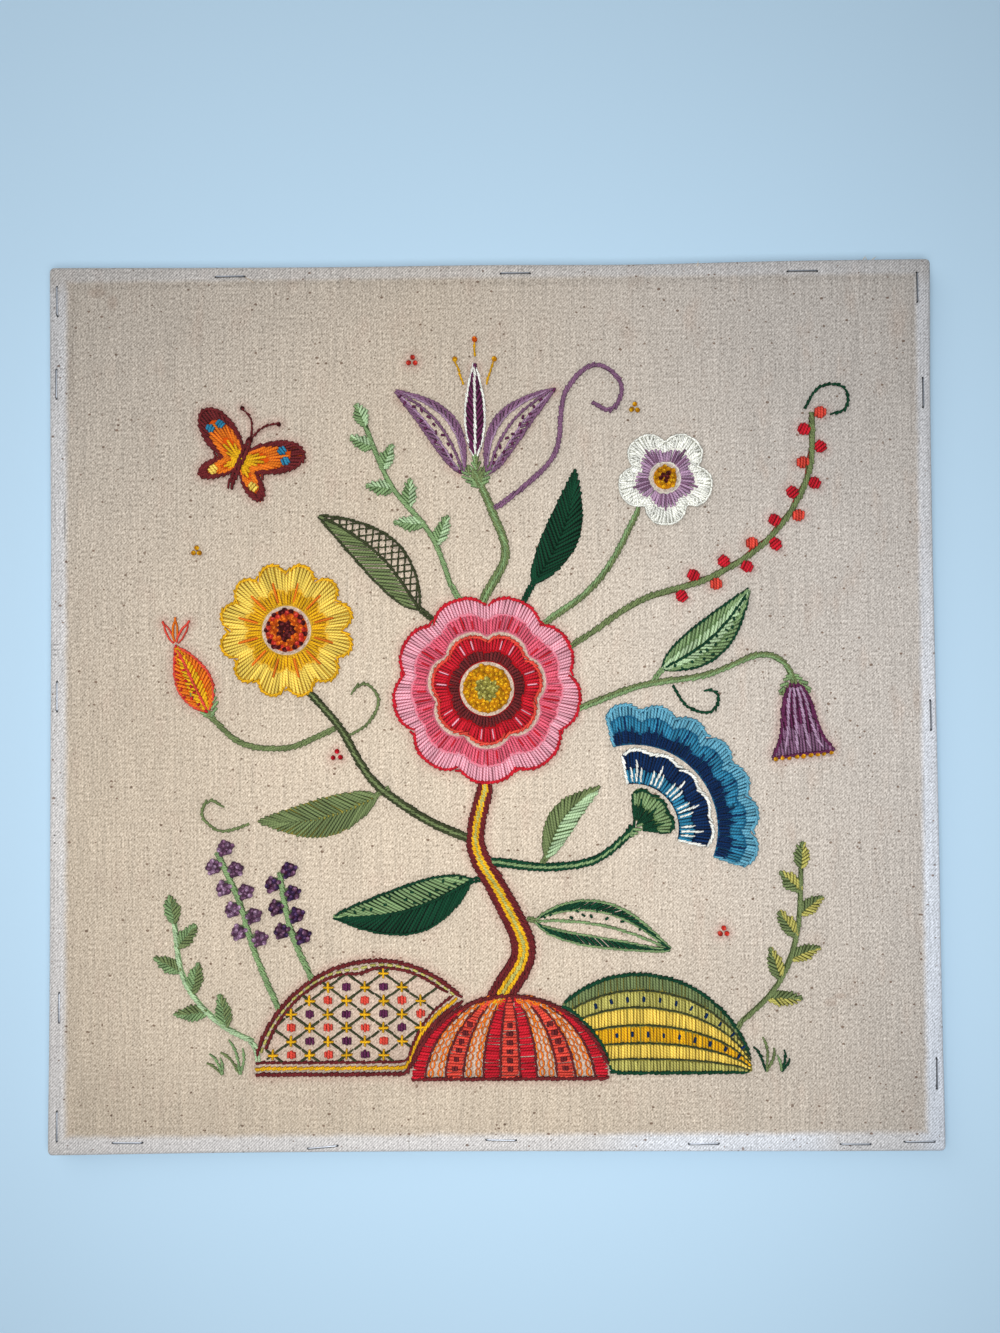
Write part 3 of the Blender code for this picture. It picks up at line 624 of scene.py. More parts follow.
# What lies under the stitches; dye has run into the grounds of two mounds
PADDING_INSET = 0.25
PADDING_SHARE = 0.62
PADDING_SINK = 0.15
# Padding that shows between the stitches takes the painted shade of a stitch's flank, in this tone of its
# wool
PADDING_TONE = 1.15
SPINE_REACH = 1.4
WALL_NORMAL = 0.3
SAME_PLACE = 0.01
DYED_GROUNDS = ("mound_left", "mound_front")
PADDING_HALO = (0.1, 0.5)
# Motifs between whose stitches the cloth shows
OPEN_GROUNDS = (
    *DYED_GROUNDS,
    "leaf_trunk_right",
    "leaf_high_left",
    "tulip_petal_left",
    "tulip_petal_right",
)

SEWN_ATTRIBUTES = (
    ("turn", "FLOAT_VECTOR"),
    ("span", "FLOAT_VECTOR"),
    ("bow", "FLOAT_VECTOR"),
    ("grain", "FLOAT_VECTOR"),
    ("thread", "FLOAT_COLOR"),
    ("knot", "BOOLEAN"),
    ("sewn", "BOOLEAN"),
)
# The stitch, the knot and the tree that sews them, once they are made
sewing = {}

# What has been sewn so far: where dye runs into the cloth, and where the needle went through, round which
# painted shade darkens the cloth
dyed_spots = []
needle_spots = []


def display(colour):
    """A 0 to 255 colour as the 0 to 1 values of a colour field."""
    return tuple(level / 255 for level in colour)


def linear(colour, tone=1.0):
    """A 0 to 1 display colour as linear light, with its alpha."""
    parts = [c / 12.92 if c <= 0.04045 else ((c + 0.055) / 1.055) ** 2.4 for c in colour]
    return (*(part * tone for part in parts), 1.0)


def seen(colour):
    """A 0 to 255 colour as linear light, with its alpha."""
    return linear(display(colour))


def length_field(name, description, default):
    """A length, given in millimetres and kept in metres."""
    return bpy.props.FloatProperty(
        name=name, description=description, default=default * MM, min=0.0, precision=5, unit="LENGTH"
    )


def number_field(name, description, default, most=1.0):
    """A plain number from nought up."""
    return bpy.props.FloatProperty(name=name, description=description, default=default, min=0.0, max=most)


def colour_field(name, description, colour):
    """A colour as it is seen."""
    return bpy.props.FloatVectorProperty(
        name=name,
        description=description,
        default=display(colour),
        min=0.0,
        max=1.0,
        size=3,
        subtype="COLOR_GAMMA",
    )


class TwillSettings(bpy.types.PropertyGroup):
    """The ground cloth."""

    cloth: colour_field("Cloth", "Colour of the faded twill", (219, 200, 174))
    # This colour is a painted cool cast of light, blended in towards the right and the upper left of the
    # front.
    faded: colour_field("Faded", "Colour of the twill where it has paled most", (208, 202, 196))
    # The margin's blue tint is a painted reflection of the pale blue surroundings; its paleness is the
    # unfaded strip.
    margin: colour_field("Margin", "Colour of the strip that no light reached", (222, 229, 240))
    fleck: colour_field("Fleck", "Colour of the husk flecks in the yarn", (108, 78, 56))
    thread_pitch: length_field("Thread pitch", "From one warp thread to the next", 0.42)
    margin_width: length_field("Margin width", "Width of the unfaded strip", 7.4)
    pucker: length_field("Pucker", "How far the front waves in and out", 0.14)
    dimple: length_field("Dimple", "How deep a staple's leg pulls the cloth in", 0.5)


class WoolSettings(bpy.types.PropertyGroup):
    """The embroidery wool."""

    yarn_width: length_field("Yarn width", "Width of one stitch of wool", 1.3)
    yarn_thickness: length_field("Yarn thickness", "Height of one stitch of wool", 0.9)
    twist: length_field("Twist", "Length of one turn of the two plies", 2.3)
    spread: number_field("Spread", "How unevenly the yarn lies, as a share of its width", 0.17)
    sheen: number_field("Sheen", "Strength of the fibres' soft sheen", 0.05)


for wool_name, wool_colour in WOOLS.items():
    WoolSettings.__annotations__[wool_name] = colour_field(
        wool_name.capitalize(), f"Colour of the {wool_name} wool", wool_colour
    )


class StapleSettings(bpy.types.PropertyGroup):
    """The staples."""

    wire_width: length_field("Wire width", "Width of the flat wire", 0.7)
    wire_thickness: length_field("Wire thickness", "Thickness of the flat wire", 0.42)
    steel: colour_field("Steel", "Colour of the dulled steel", (196, 202, 212))


class BoardSettings(bpy.types.PropertyGroup):
    """The board behind the cloth."""

    board: colour_field("Board", "Colour of the pressed board", (176, 150, 118))


class StageSettings(bpy.types.PropertyGroup):
    """Floor, light and camera."""

    floor: colour_field("Floor", "Colour of the floor", (190, 219, 240))
    daylight: bpy.props.FloatProperty(
        name="Daylight", description="Power of the large soft light", default=9.6, min=0.0, unit="POWER"
    )
    sky: number_field("Sky", "Strength of the light from all round", 0.17, most=10.0)


class CrewelSettings(bpy.types.PropertyGroup):
    """All sizes and colours of the panel."""

    twill: bpy.props.PointerProperty(type=TwillSettings)
    wool: bpy.props.PointerProperty(type=WoolSettings)
    staple: bpy.props.PointerProperty(type=StapleSettings)
    board: bpy.props.PointerProperty(type=BoardSettings)
    stage: bpy.props.PointerProperty(type=StageSettings)


class Wire:
    """One output socket of a node. Python's operators on it add Math nodes."""

    def __init__(self, nodes, socket):
        self.nodes = nodes
        self.socket = socket

    def other(self, name):
        """Another output of the same node."""
        return Wire(self.nodes, self.socket.node.outputs[name])

    def maths(self, operation, *values):
        """A Math node whose first value is this one."""
        return self.nodes.add("ShaderNodeMath", {"operation": operation}, dict(enumerate((self, *values))))

    def __add__(self, value):
        return self.maths("ADD", value)

    def __sub__(self, value):
        return self.maths("SUBTRACT", value)

    def __rsub__(self, value):
        return self.nodes.add("ShaderNodeMath", {"operation": "SUBTRACT"}, {0: value, 1: self})

    def __mul__(self, value):
        return self.maths("MULTIPLY", value)

    def __truediv__(self, value):
        return self.maths("DIVIDE", value)

    def __pow__(self, value):
        return self.maths("POWER", value)

    def __abs__(self):
        return self.maths("ABSOLUTE")

    __radd__ = __add__
    __rmul__ = __mul__

    def wave(self):
        """A sine with a period of 1, from 0 to 1."""
        return (self * math.tau).maths("SINE") * 0.5 + 0.5

    def rise(self, low, high):
        """0 below low and 1 above high, with a smooth rise between."""
        return self.nodes.add(
            "ShaderNodeMapRange",
            {"interpolation_type": "SMOOTHSTEP"},
            {"Value": self, "From Min": low, "From Max": high},
        )


class Nodes:
    """Adds nodes to one tree, a shader's or a geometry's."""

    def __init__(self, tree):
        self.tree = tree
        tree.nodes.clear()

    def add(self, kind, settings=None, sockets=None, output=0):
        """A node: its settings first, then values or links for its sockets; gives one output."""
        node = self.tree.nodes.new(kind)
        for name, value in (settings or {}).items():
            setattr(node, name, value)
        for key, value in (sockets or {}).items():
            for part in value if isinstance(value, list) else [value]:
                if isinstance(part, Wire):
                    self.tree.links.new(part.socket, node.inputs[key])
                else:
                    node.inputs[key].default_value = part
        return Wire(self, node.outputs[output]) if len(node.outputs) else None

    def point(self, x, y, z=0.0):
        """Three numbers as a vector."""
        return self.add("ShaderNodeCombineXYZ", {}, {0: x, 1: y, 2: z})

    def parts(self, vector):
        """The three numbers of a vector."""
        split = self.add("ShaderNodeSeparateXYZ", {}, {0: vector})
        return split, split.other("Y"), split.other("Z")

    def noise(self, x, y, z=0.0, detail=2.0, roughness=0.5):
        """Cloudy noise from 0 to 1 that repeats about once a unit."""
        sockets = {"Vector": self.point(x, y, z), "Scale": 1.0, "Detail": detail, "Roughness": roughness}
        return self.add("ShaderNodeTexNoise", {}, sockets)

    def spots(self, x, y, z=0.0):
        """Distance to the nearest of scattered points, and with other("Color") a colour for each."""
        return self.add("ShaderNodeTexVoronoi", {}, {"Vector": self.point(x, y, z), "Scale": 1.0})

    def blend(self, share, near, far, how="MIX"):
        """One colour over another."""
        settings = {"data_type": "RGBA", "blend_type": how}
        return self.add("ShaderNodeMix", settings, {0: share, 6: near, 7: far}, output=2)

    def shade(self, colour, tone):
        """A colour made darker or lighter."""
        return self.scaled(colour[:3] if isinstance(colour, tuple) else colour, tone)

    def bump(self, height, depth, strength=1.0):
        """A bumpy normal from a height of 0 to 1 over a depth in millimetres."""
        sockets = {"Height": height, "Distance": depth * MM, "Strength": strength}
        return self.add("ShaderNodeBump", {}, sockets)

    def scaled(self, vector, share):
        """A vector times a number."""
        return self.add("ShaderNodeVectorMath", {"operation": "SCALE"}, {0: vector, "Scale": share})

    def place(self):
        """The object's own coordinates in millimetres."""
        return self.parts(self.scaled(self.add("ShaderNodeTexCoord", output="Object"), 1 / MM))

    def mapped(self, name):
        """The two numbers of a UV map, with a third that is nought."""
        return self.parts(self.add("ShaderNodeUVMap", {"uv_map": name}))

    def carried(self, name, output):
        """What the mesh carries under a name, in a shader."""
        return self.add("ShaderNodeAttribute", {"attribute_name": name}, output=output)

    def named(self, name, kind="FLOAT_VECTOR"):
        """What the mesh carries under a name, in a geometry tree."""
        return self.add("GeometryNodeInputNamedAttribute", {"data_type": kind}, {"Name": name})

    def shape(self, item):
        """The geometry of an object."""
        return self.add("GeometryNodeObjectInfo", {}, {"Object": item}).other("Geometry")

    def uneven(self, low, high, seed):
        """A chance number for each point."""
        settings = {"data_type": "FLOAT"}
        return self.add("FunctionNodeRandomValue", settings, {2: low, 3: high, 8: seed}, output=1)


def make_finish(name, build, *details):
    """The material of that name, built once."""
    title = name.replace("_", " ") + " look"
    material = bpy.data.materials.get(title)
    if material is None:
        material = bpy.data.materials.new(title)
        material.use_nodes = True
        nodes = Nodes(material.node_tree)
        sockets = build(nodes, *details)
        shader = nodes.add("ShaderNodeBsdfPrincipled", {}, sockets)
        nodes.add("ShaderNodeOutputMaterial", {}, {"Surface": shader})
    return material


def inside_oval(x, y, middle_x, middle_y, half_width, half_height):
    """1 in the middle of an oval, 0 on its edge and less than that outside it."""
    return 1 - (((x - middle_x) / half_width) ** 2.0 + ((y - middle_y) / half_height) ** 2.0)


def twill_margin(nodes, twill, place, weave, colour, tone):
    """The unfaded strip outside the old framing line, with a soft dark rim; gives colour and tone. Its blue
    tint and its brightness that differs from side to side are painted light.
    """
    x, y, z = place
    width = twill.margin_width / MM
    ragged = nodes.noise(x / 9, y / 9, 11.0, detail=3.0) * 0.26 - 0.13
    right = (HALF - x) / (width * 0.98 - y * 0.0045)
    left = (HALF + x) / (width * 1.04)
    top = (HALF - y) / (width * 0.87)
    bottom = (HALF + y) / (width * 1.07)
    inward = right.maths("MINIMUM", left).maths("MINIMUM", top).maths("MINIMUM", bottom)
    behind = 1 - z.rise(1.0, 4.0)
    pale = (1 - (inward + ragged).rise(0.76, 1.18)).maths("MAXIMUM", behind)
    # Painted light on the margin: shaded and less blue along the top, bluer down the right and slightly
    # shaded on its upper part, lighter and bluer along the middle of the foot.
    by_top = y.rise(164.0, 174.0)
    by_right = x.rise(164.0, 174.0)
    by_foot = (0 - y).rise(164.0, 174.0) * x.rise(30.0, 70.0) * (1 - x.rise(120.0, 140.0))
    strength = 0.5 - by_top * 0.2 + by_right * (100 - y).rise(0.0, 200.0) * 0.42 + by_foot * 0.3
    colour = nodes.blend(pale * strength, colour, linear(twill.margin))
    # Slightly darker towards the panel's edge.
    away_from_edge = (inward + ragged * 2.0).rise(0.1, 0.9)
    lift = 0.09 - by_top * 0.1 - y.rise(-60.0, -20.0) * by_right * 0.03 + by_foot * 0.06
    tone = tone * (0.93 + away_from_edge * 0.07) * (1 + pale * (lift + (weave - 0.39) * 0.5))
    rim = (1 - abs(inward + ragged - 1.25).rise(0.0, 0.4)) * (0.02 + y.rise(60.0, 170.0) * 0.05)
    return colour, tone - rim * (1 - behind)


def twill_flecks(nodes, across, along, fuzz):
    """How far each place lies in a husk fleck or in the finer dust."""
    flecks = nodes.spots(across / 6.5, along / 8.5)
    big = flecks + fuzz * 0.08 - 0.04
    big_chance, big_size, _none = nodes.parts(flecks.other("Color"))
    speck = (big_size ** 3.0 * 0.08 + 0.035 - big) * big_chance.rise(0.25, 0.3)
    small = nodes.spots(across / 2.9, along / 2.2, 4.0)
    small_chance, small_size, _none = nodes.parts(small.other("Color"))
    dust = (small_size ** 4.0 * 0.15 + 0.12 - small) * small_chance.rise(0.4, 0.44)
    return (speck.rise(0.0, 0.03) * 0.7).maths("MAXIMUM", dust.rise(0.0, 0.06) * 0.8)


def twill_finish(nodes, twill):
    """Faded twill with slubs, husk flecks, stains, a pale margin and dye that has run, with painted light
    and shade in its colour.
    """
    flat_x, flat_y, _none = nodes.mapped("cut")
    across = flat_x * FLAT_SIDE
    along = flat_y * FLAT_SIDE
    pitch = twill.thread_pitch / MM
    drift = nodes.noise(across * 0.5, along * 0.5, 3.0, detail=1.0) * (0.5 * pitch)
    warp = ((across + drift) / pitch).wave()
    weft = ((along - drift) / pitch).wave()
    ridge = ((across - along + drift) / (3 * pitch)).wave()
    weave = ridge * (0.6 + warp * 0.4) * 0.75 + (1 - ridge) * weft * 0.35
    grain = nodes.noise(across * 1.35, along * 0.92, 6.0, detail=2.0, roughness=0.7)
    warp_slub = nodes.noise(across * 1.1, along * 0.03, 1.0, detail=3.0, roughness=0.7)
    weft_slub = nodes.noise(across * 0.02, along * 1.4, 2.0, detail=3.0, roughness=0.7)
    fuzz = nodes.noise(across * 2.6, along * 2.6, 5.0, detail=2.0, roughness=0.8)
    thick = (warp_slub.rise(0.5, 0.78) + weft_slub.rise(0.56, 0.8) * 0.7) * 0.5
    height = weave * 0.7 + thick * 0.5 + fuzz * 0.25

    cloud = nodes.noise(across / 58, along / 58, 7.0, detail=3.0)
    blush = nodes.noise(across / 9, along / 22, 9.0, detail=3.0).rise(0.54, 0.76)
    x, y, z = nodes.place()
    # Painted pool of light: the cloth is brightest about a spot below the middle and darker away from it;
    # also darker towards the bottom edge and the lower right corner. The cloud is tone that differs at
    # random.
    from_middle = ((x - 10.0) ** 2.0 + (y + 40.0) ** 2.0) / 40000.0
    by_corner = x.rise(90.0, 170.0) * (0 - y).rise(20.0, 130.0)
    tone = 1.02 - from_middle * 0.18 + (cloud - 0.5) * 0.18
    tone = tone - (0 - y).rise(110.0, 175.0) * 0.02 - by_corner * 0.035
    # Painted shade in the weave's grooves, lighter on its ridges; the slubs are thicker yarn.
    tone = tone * (0.82 + weave * 0.36) * (0.6 + warp_slub * 0.8) * (0.82 + weft_slub * 0.36)
    rough = abs(x - y).rise(120.0, 260.0) * 0.25 + 1.42 - (0 - y).rise(80.0, 170.0) * 0.2
    tone = tone * (1 + (grain - 0.483) * rough) * (1 - (0.41 - grain).rise(0.0, 0.12) * 0.26)
    # Painted cool cast of light: the colour turns cooler and greyer towards the right and the upper left.
    cooled = ((x + y * 0.3).rise(-40.0, 190.0) * 0.87).maths("MAXIMUM", (y - x).rise(100.0, 330.0) * 0.5)
    faded = nodes.blend(cooled, linear(twill.cloth), linear(twill.faded))
    colour = nodes.blend(blush * 0.28, faded, seen(BLUSH))
    # Painted highlight: where grain and weave ridges make the yarn lighter it turns whiter, where darker it
    # turns browner.
    lit = (grain * 1.3 + weave * 0.3 - 0.26).rise(0.1, 1.0)
    colour = nodes.blend(0.26, colour, nodes.blend(lit, linear(twill.fleck), seen(LIT_YARN)))
    for stain in STAINS:
        colour = nodes.blend(inside_oval(x, y, *stain).rise(0.0, 1.0) * fuzz * 0.5, colour, seen(STAIN))

    colour, tone = twill_margin(nodes, twill, (x, y, z), weave, colour, tone)
    colour = nodes.blend(twill_flecks(nodes, across, along, fuzz), colour, linear(twill.fleck))
    for *mark, strength in MARKS:
        tone = tone * (1 - inside_oval(x, y, *mark).rise(0.0, 0.5) * strength)

    patchy = nodes.noise(across / 3, along / 3, 13.0, detail=2.0) * 0.7 + 0.3
    colour = nodes.blend(nodes.carried("halo", "Fac") * patchy * 0.45, colour, seen(RUN_DYE))
    # Painted shade: the cloth darkens round the stitches.
    tone = tone * (1 - nodes.carried("worked", "Fac") * 0.16)
    colour = nodes.shade(colour, tone)
    return {
        "Base Color": colour,
        "Roughness": 0.95,
        "Sheen Weight": 0.12,
        "Sheen Roughness": 0.6,
        "Normal": nodes.bump(height, 0.2, 0.85),
    }


def wool_finish(nodes, wool):
    """Two-ply wool: the plies wind along each stitch, with stray fibres over them; painted shade and a
    painted highlight are in its colour.
    """
    share, round_it, _none = nodes.mapped("yarn")
    reach, chance, _none = nodes.parts(nodes.carried("grain", "Vector"))
    thread = nodes.carried("thread", "Color")
    along = share * reach
    twist = wool.twist / MM
    turn = along / twist + round_it + chance
    ply = abs((turn * math.tau).maths("SINE"))
    fibre = nodes.noise(along * 0.9, turn * 9, chance * 40, detail=2.0, roughness=0.7)
    lint = nodes.noise(along * 3, round_it * 9, chance * 70, detail=2.0)
    # Painted shade: each stitch is darker and deeper in colour on its flanks than on its lit crown, darker
    # where it dives into the cloth and in the grooves between its plies; the fibre noise is tone that
    # differs at random.
    crown = (round_it * math.tau).maths("SINE").rise(0.25, 1.0)
    dive = share.rise(0.0, 0.07) * (1 - share).rise(0.0, 0.07)
    deep = nodes.blend(1.0, thread, nodes.blend(0.35, thread, (1.0, 1.0, 1.0, 1.0)), how="MULTIPLY")
    tone = (0.78 + ply * 0.42) * (0.76 + fibre * 0.56) * (0.8 + crown * 0.29) * (0.66 + dive * 0.34)
    colour = nodes.shade(nodes.blend(crown, deep, thread), tone)
    # Stray fibres, paler as a painted highlight.
    fluff_and_sheen = lint.rise(0.58, 0.8) * 0.16
    pale = nodes.blend(0.25, nodes.shade(thread, 1.3), (0.8, 0.8, 0.8, 1.0))
    return {
        "Base Color": nodes.blend(fluff_and_sheen, colour, pale),
        "Roughness": 0.88,
        "Specular IOR Level": 0.06,
        "Sheen Weight": wool.sheen,
        "Sheen Roughness": 0.45,
        "Normal": nodes.bump(ply * 0.7 + fibre * 0.45, 0.25, 0.9),
    }


def steel_finish(nodes, staple):
    """Dulled steel wire with fine scratches and a little rust, with painted shade and highlight."""
    x, y, z = nodes.place()
    patch = nodes.noise(x * 0.9, y * 0.9, z * 0.9, detail=4.0, roughness=0.7)
    scratch = nodes.noise(x * 9, y * 9, z * 9, detail=2.0)
    reach, flank, _none = nodes.mapped("wire")
    rust = patch.rise(0.6, 0.72) * 0.55
    # Painted shade and highlight: the wire is dark on one flank and bright on the other, and darker at both
    # ends where its legs go into the cloth.
    tone = (0.75 + patch * 0.5) * (0.1 + flank.rise(-0.5, 0.7) * 1.1)
    tone = tone * (1 - abs(reach).rise(0.8, 0.98) * 0.8)
    colour = nodes.shade(linear(staple.steel), tone)
    return {
        "Base Color": nodes.blend(rust, colour, seen(RUST)),
        "Metallic": (1 - rust) * 0.7,
        "Roughness": 0.3 + patch * 0.25 + rust * 0.3,
        "Normal": nodes.bump(scratch, 0.03, 0.5),
    }


def board_finish(nodes, board):
    """Pressed board: chopped fibres, knocks, foxing and scrapes."""
    x, y, z = nodes.place()
    fibre = nodes.noise(x * 0.5, y * 3.2, z * 3.2, detail=4.0, roughness=0.75)
    chip = nodes.spots(x / 2.6, y / 1.3, z / 1.3)
    chip_chance, chip_tone, _none = nodes.parts(chip.other("Color"))
    cloud = nodes.noise(x / 70, y / 70, z / 70, detail=4.0)
    foxed = nodes.noise(x / 12, y / 12, z / 12, detail=3.0).rise(0.62, 0.78)
    scrape = nodes.noise(x / 34, y * 1.4, 3.0, detail=2.0).rise(0.7, 0.8)
    tone = (0.8 + fibre * 0.28) * (0.9 + chip_tone * 0.16) * (0.84 + cloud * 0.32)
    colour = nodes.shade(linear(board.board), tone)
    colour = nodes.blend(foxed * 0.35, colour, seen(FOXING))
    colour = nodes.blend(scrape * 0.3, colour, seen(SCRAPE))
    height = fibre * 0.6 + chip_tone * chip_chance * 0.3 - scrape * 0.25
    return {
        "Base Color": colour,
        "Roughness": 0.72 + fibre * 0.2,
        "Normal": nodes.bump(height, 0.12, 0.7),
    }


def floor_finish(nodes, stage):
    """A pale matt floor."""
    x, y, _z = nodes.place()
    cloud = nodes.noise(x / 400, y / 400, 0.0, detail=2.0)
    colour = nodes.shade(linear(stage.floor), 0.97 + cloud * 0.06)
    return {"Base Color": colour, "Roughness": 0.8, "Specular IOR Level": 0.2}


def catmull_rom(before, start, end, after, share):
    """One stretch of a smooth curve through given values or points."""
    return 0.5 * (
        2 * start
        + (end - before) * share
        + (2 * before - 5 * start + 4 * end - after) * share ** 2
        + (3 * start - before - 3 * end + after) * share ** 3
    )


def smooth_at(values, share):
    """The value at a share of the way along a smooth curve through values or points."""
    place = min(max(share, 0.0), 1.0) * (len(values) - 1)
    first = min(int(place), len(values) - 2)
    before = values[max(first - 1, 0)]
    after = values[min(first + 2, len(values) - 1)]
    return catmull_rom(before, values[first], values[first + 1], after, place - first)


def at(points, share):
    """The point at a share of the way along a row of points."""
    place = min(max(share, 0.0), 1.0) * (len(points) - 1)
    first = min(int(place), len(points) - 2)
    return points[first].lerp(points[first + 1], place - first)


def run_length(points):
    """Length of a row of points."""
    return sum((far - near).length for near, far in zip(points, points[1:]))


def walk(points, steps, start=0.0):
    """Evenly spaced places along a row of points, each with the direction to its left."""
    reach = [0.0]
    for near, far in zip(points, points[1:]):
        reach.append(reach[-1] + (far - near).length)
    path = []
    place = 0
    for step in range(steps + 1):
        target = reach[-1] * (start + (1 - start) * step / steps)
        while place < len(points) - 2 and reach[place + 1] < target:
            place += 1
        run = points[place + 1] - points[place]
        share = (target - reach[place]) / max(reach[place + 1] - reach[place], 1e-9)
        path.append((points[place] + run * share, Vector((-run.y, run.x)).normalized()))
    return path


def curve(route):
    """A smooth curve through a route, as close points."""
    knots = [Vector(point) for point in route]
    return [smooth_at(knots, step / CURVE_SAMPLES) for step in range(CURVE_SAMPLES + 1)]


def leaf_sides(base, tip, width, bow=0.0, steps=24):
    """The two edges of a pointed leaf or petal."""
    base = Vector(base)
    run = Vector(tip) - base
    side = Vector((-run.y, run.x)).normalized()
    lefts = []
    rights = []
    for step in range(steps + 1):
        share = step / steps
        spine = base + run * share + side * bow * math.sin(math.pi * share)
        swell = abs(math.sin(math.pi * share ** LEAF_TAPER)) ** LEAF_FULLNESS
        half = max(width * swell, TIP_WIDTH) / 2
        lefts.append(spine + side * half)
        rights.append(spine - side * half)
    return lefts, rights


def scallop(share, lobes, notch):
    """How far a scalloped edge draws in at a share of its length."""
    return notch * (1 - abs(math.sin(math.pi * lobes * share))) ** NOTCH_SHARPNESS


def polar(centre, radius, angle):
    """A point at a distance and an angle in degrees from a centre."""
    turn = math.radians(angle)
    return Vector(centre) + Vector((math.cos(turn), math.sin(turn))) * radius


def arch(x, middle, half_width, foot, crest):
    """Height of a mound's outline above a place on its foot line."""
    across = min(abs((x - middle) / half_width), 1.0)
    return foot + (crest - foot) * (1 - across ** 2) ** MOUND_POWER


def chords(outline, origin, way):
    """Where a line runs inside a closed outline, as pairs of distances from its origin."""
    across = Vector((-way.y, way.x))
    hits = []
    for near, far in zip(outline, outline[1:] + outline[:1]):
        a = (near - origin).dot(across)
        b = (far - origin).dot(across)
        if (a > 0) != (b > 0):
            hits.append((near.lerp(far, a / (a - b)) - origin).dot(way))
    hits.sort()
    return list(zip(hits[::2], hits[1::2]))


def inside(outline, spot):
    """Whether a spot lies inside a closed outline."""
    return any(near < 0 < far for near, far in chords(outline, spot, Vector((1, 0))))


def rows_along(spine, start, end, pitch):
    """How many stitches that run from start to end lie a pitch apart along a spine."""
    run = (end - start).normalized()
    way = (spine[-1] - spine[0]).normalized()
    return max(round(run_length(spine) * abs(run.x * way.y - run.y * way.x) / pitch), 2)


def between(lefts, rights, share=0.5):
    """The row of points at a share of the way from one row to another."""
    return [near.lerp(far, share) for near, far in zip(lefts, rights)]


def paced(points, reach, least=1):
    """Places about a reach apart along a row of points, each with the direction to its left."""
    return walk(points, max(round(run_length(points) / reach), least))


def ways(angle):
    """The direction at an angle and the direction to its left."""
    way = polar((0, 0), 1, angle)
    return way, Vector((-way.y, way.x))


def link_object(name, data):
    """An object of that data in the scene."""
    item = bpy.data.objects.new(name, data)
    bpy.context.scene.collection.objects.link(item)
    return item


def add_mesh_object(name, verts, faces, smooth=True):
    """A mesh object in metres from corners in millimetres."""
    mesh = bpy.data.meshes.new(name)
    mesh.from_pydata([tuple(value * MM for value in vert) for vert in verts], [], faces)
    if smooth:
        mesh.shade_smooth()
    return link_object(name, mesh)


def tube(rings, first_tip, last_tip, sides):
    """Corners, faces and yarn places of a closed tube of rings, each a function of an angle."""
    verts = [ring(math.tau * side / sides) for ring in rings for side in range(sides)]
    faces = []
    places = []
    last = len(rings) - 1
    for row in range(last):
        for side in range(sides):
            following = (side + 1) % sides
            near = row * sides
            faces.append((near + side, near + following, near + sides + following, near + sides + side))
            places.append(((row, side), (row, side + 1), (row + 1, side + 1), (row + 1, side)))
    verts += [first_tip, last_tip]
    for side in range(sides):
        following = (side + 1) % sides
        faces.append((len(verts) - 2, following, side))
        places.append(((-1, side + 0.5), (0, side + 1), (0, side)))
        faces.append((len(verts) - 1, last * sides + side, last * sides + following))
        places.append(((last + 1, side + 0.5), (last, side), (last, side + 1)))
    return verts, faces, places


def add_pattern(name, rings, first_tip, last_tip, sides, shares):
    """A closed shape one unit long that is put at each stitch, with its yarn map."""
    verts, faces, places = tube(rings, first_tip, last_tip, sides)
    item = add_mesh_object(name, [Vector(vert) / MM for vert in verts], faces)
    layer = item.data.uv_layers.new(name="yarn")
    spots = [spot for face in places for spot in face]
    for corner, (row, side) in zip(layer.data, spots):
        corner.uv = (shares[row + 1], side / sides)
    return item


def stitch_pattern():
    """One stitch of yarn: it dives into the cloth at both ends."""
    rings = []
    for place, width, middle, thickness in STITCH_RINGS:
        rings.append(
            lambda turn, p=place, w=width, m=middle, t=thickness: (
                p - 0.5,
                math.cos(turn) * w / 2,
                m + math.sin(turn) * t / 2,
            )
        )
    shares = [0.0] + [ring[0] for ring in STITCH_RINGS] + [1.0]
    return add_pattern("stitch", rings, (-0.5, 0, STITCH_TIP), (0.5, 0, STITCH_TIP), STITCH_SIDES, shares)


def knot_pattern():
    """One knot: a round coil with a dimple where the needle went back down."""
    rings = []
    for radius, height in KNOT_RINGS:
        rings.append(lambda turn, r=radius, h=height: (math.cos(turn) * r, math.sin(turn) * r, h))
    turns = len(KNOT_RINGS) + 1
    shares = [0.0] + [(row + 0.5) / turns for row in range(len(KNOT_RINGS))] + [1.0]
    return add_pattern("knot", rings, (0, 0, KNOT_FOOT), (0, 0, KNOT_DIMPLE), KNOT_SIDES, shares)


def new_tree(title, inputs):
    """A geometry tree with named inputs after its geometry; gives its nodes and its first input."""
    tree = bpy.data.node_groups.new(title, "GeometryNodeTree")
    for name, kind in (("Geometry", "Geometry"), *inputs):
        tree.interface.new_socket(name=name, in_out="INPUT", socket_type="NodeSocket" + kind)
    tree.interface.new_socket(name="Geometry", in_out="OUTPUT", socket_type="NodeSocketGeometry")
    nodes = Nodes(tree)
    return nodes, nodes.add("NodeGroupInput")


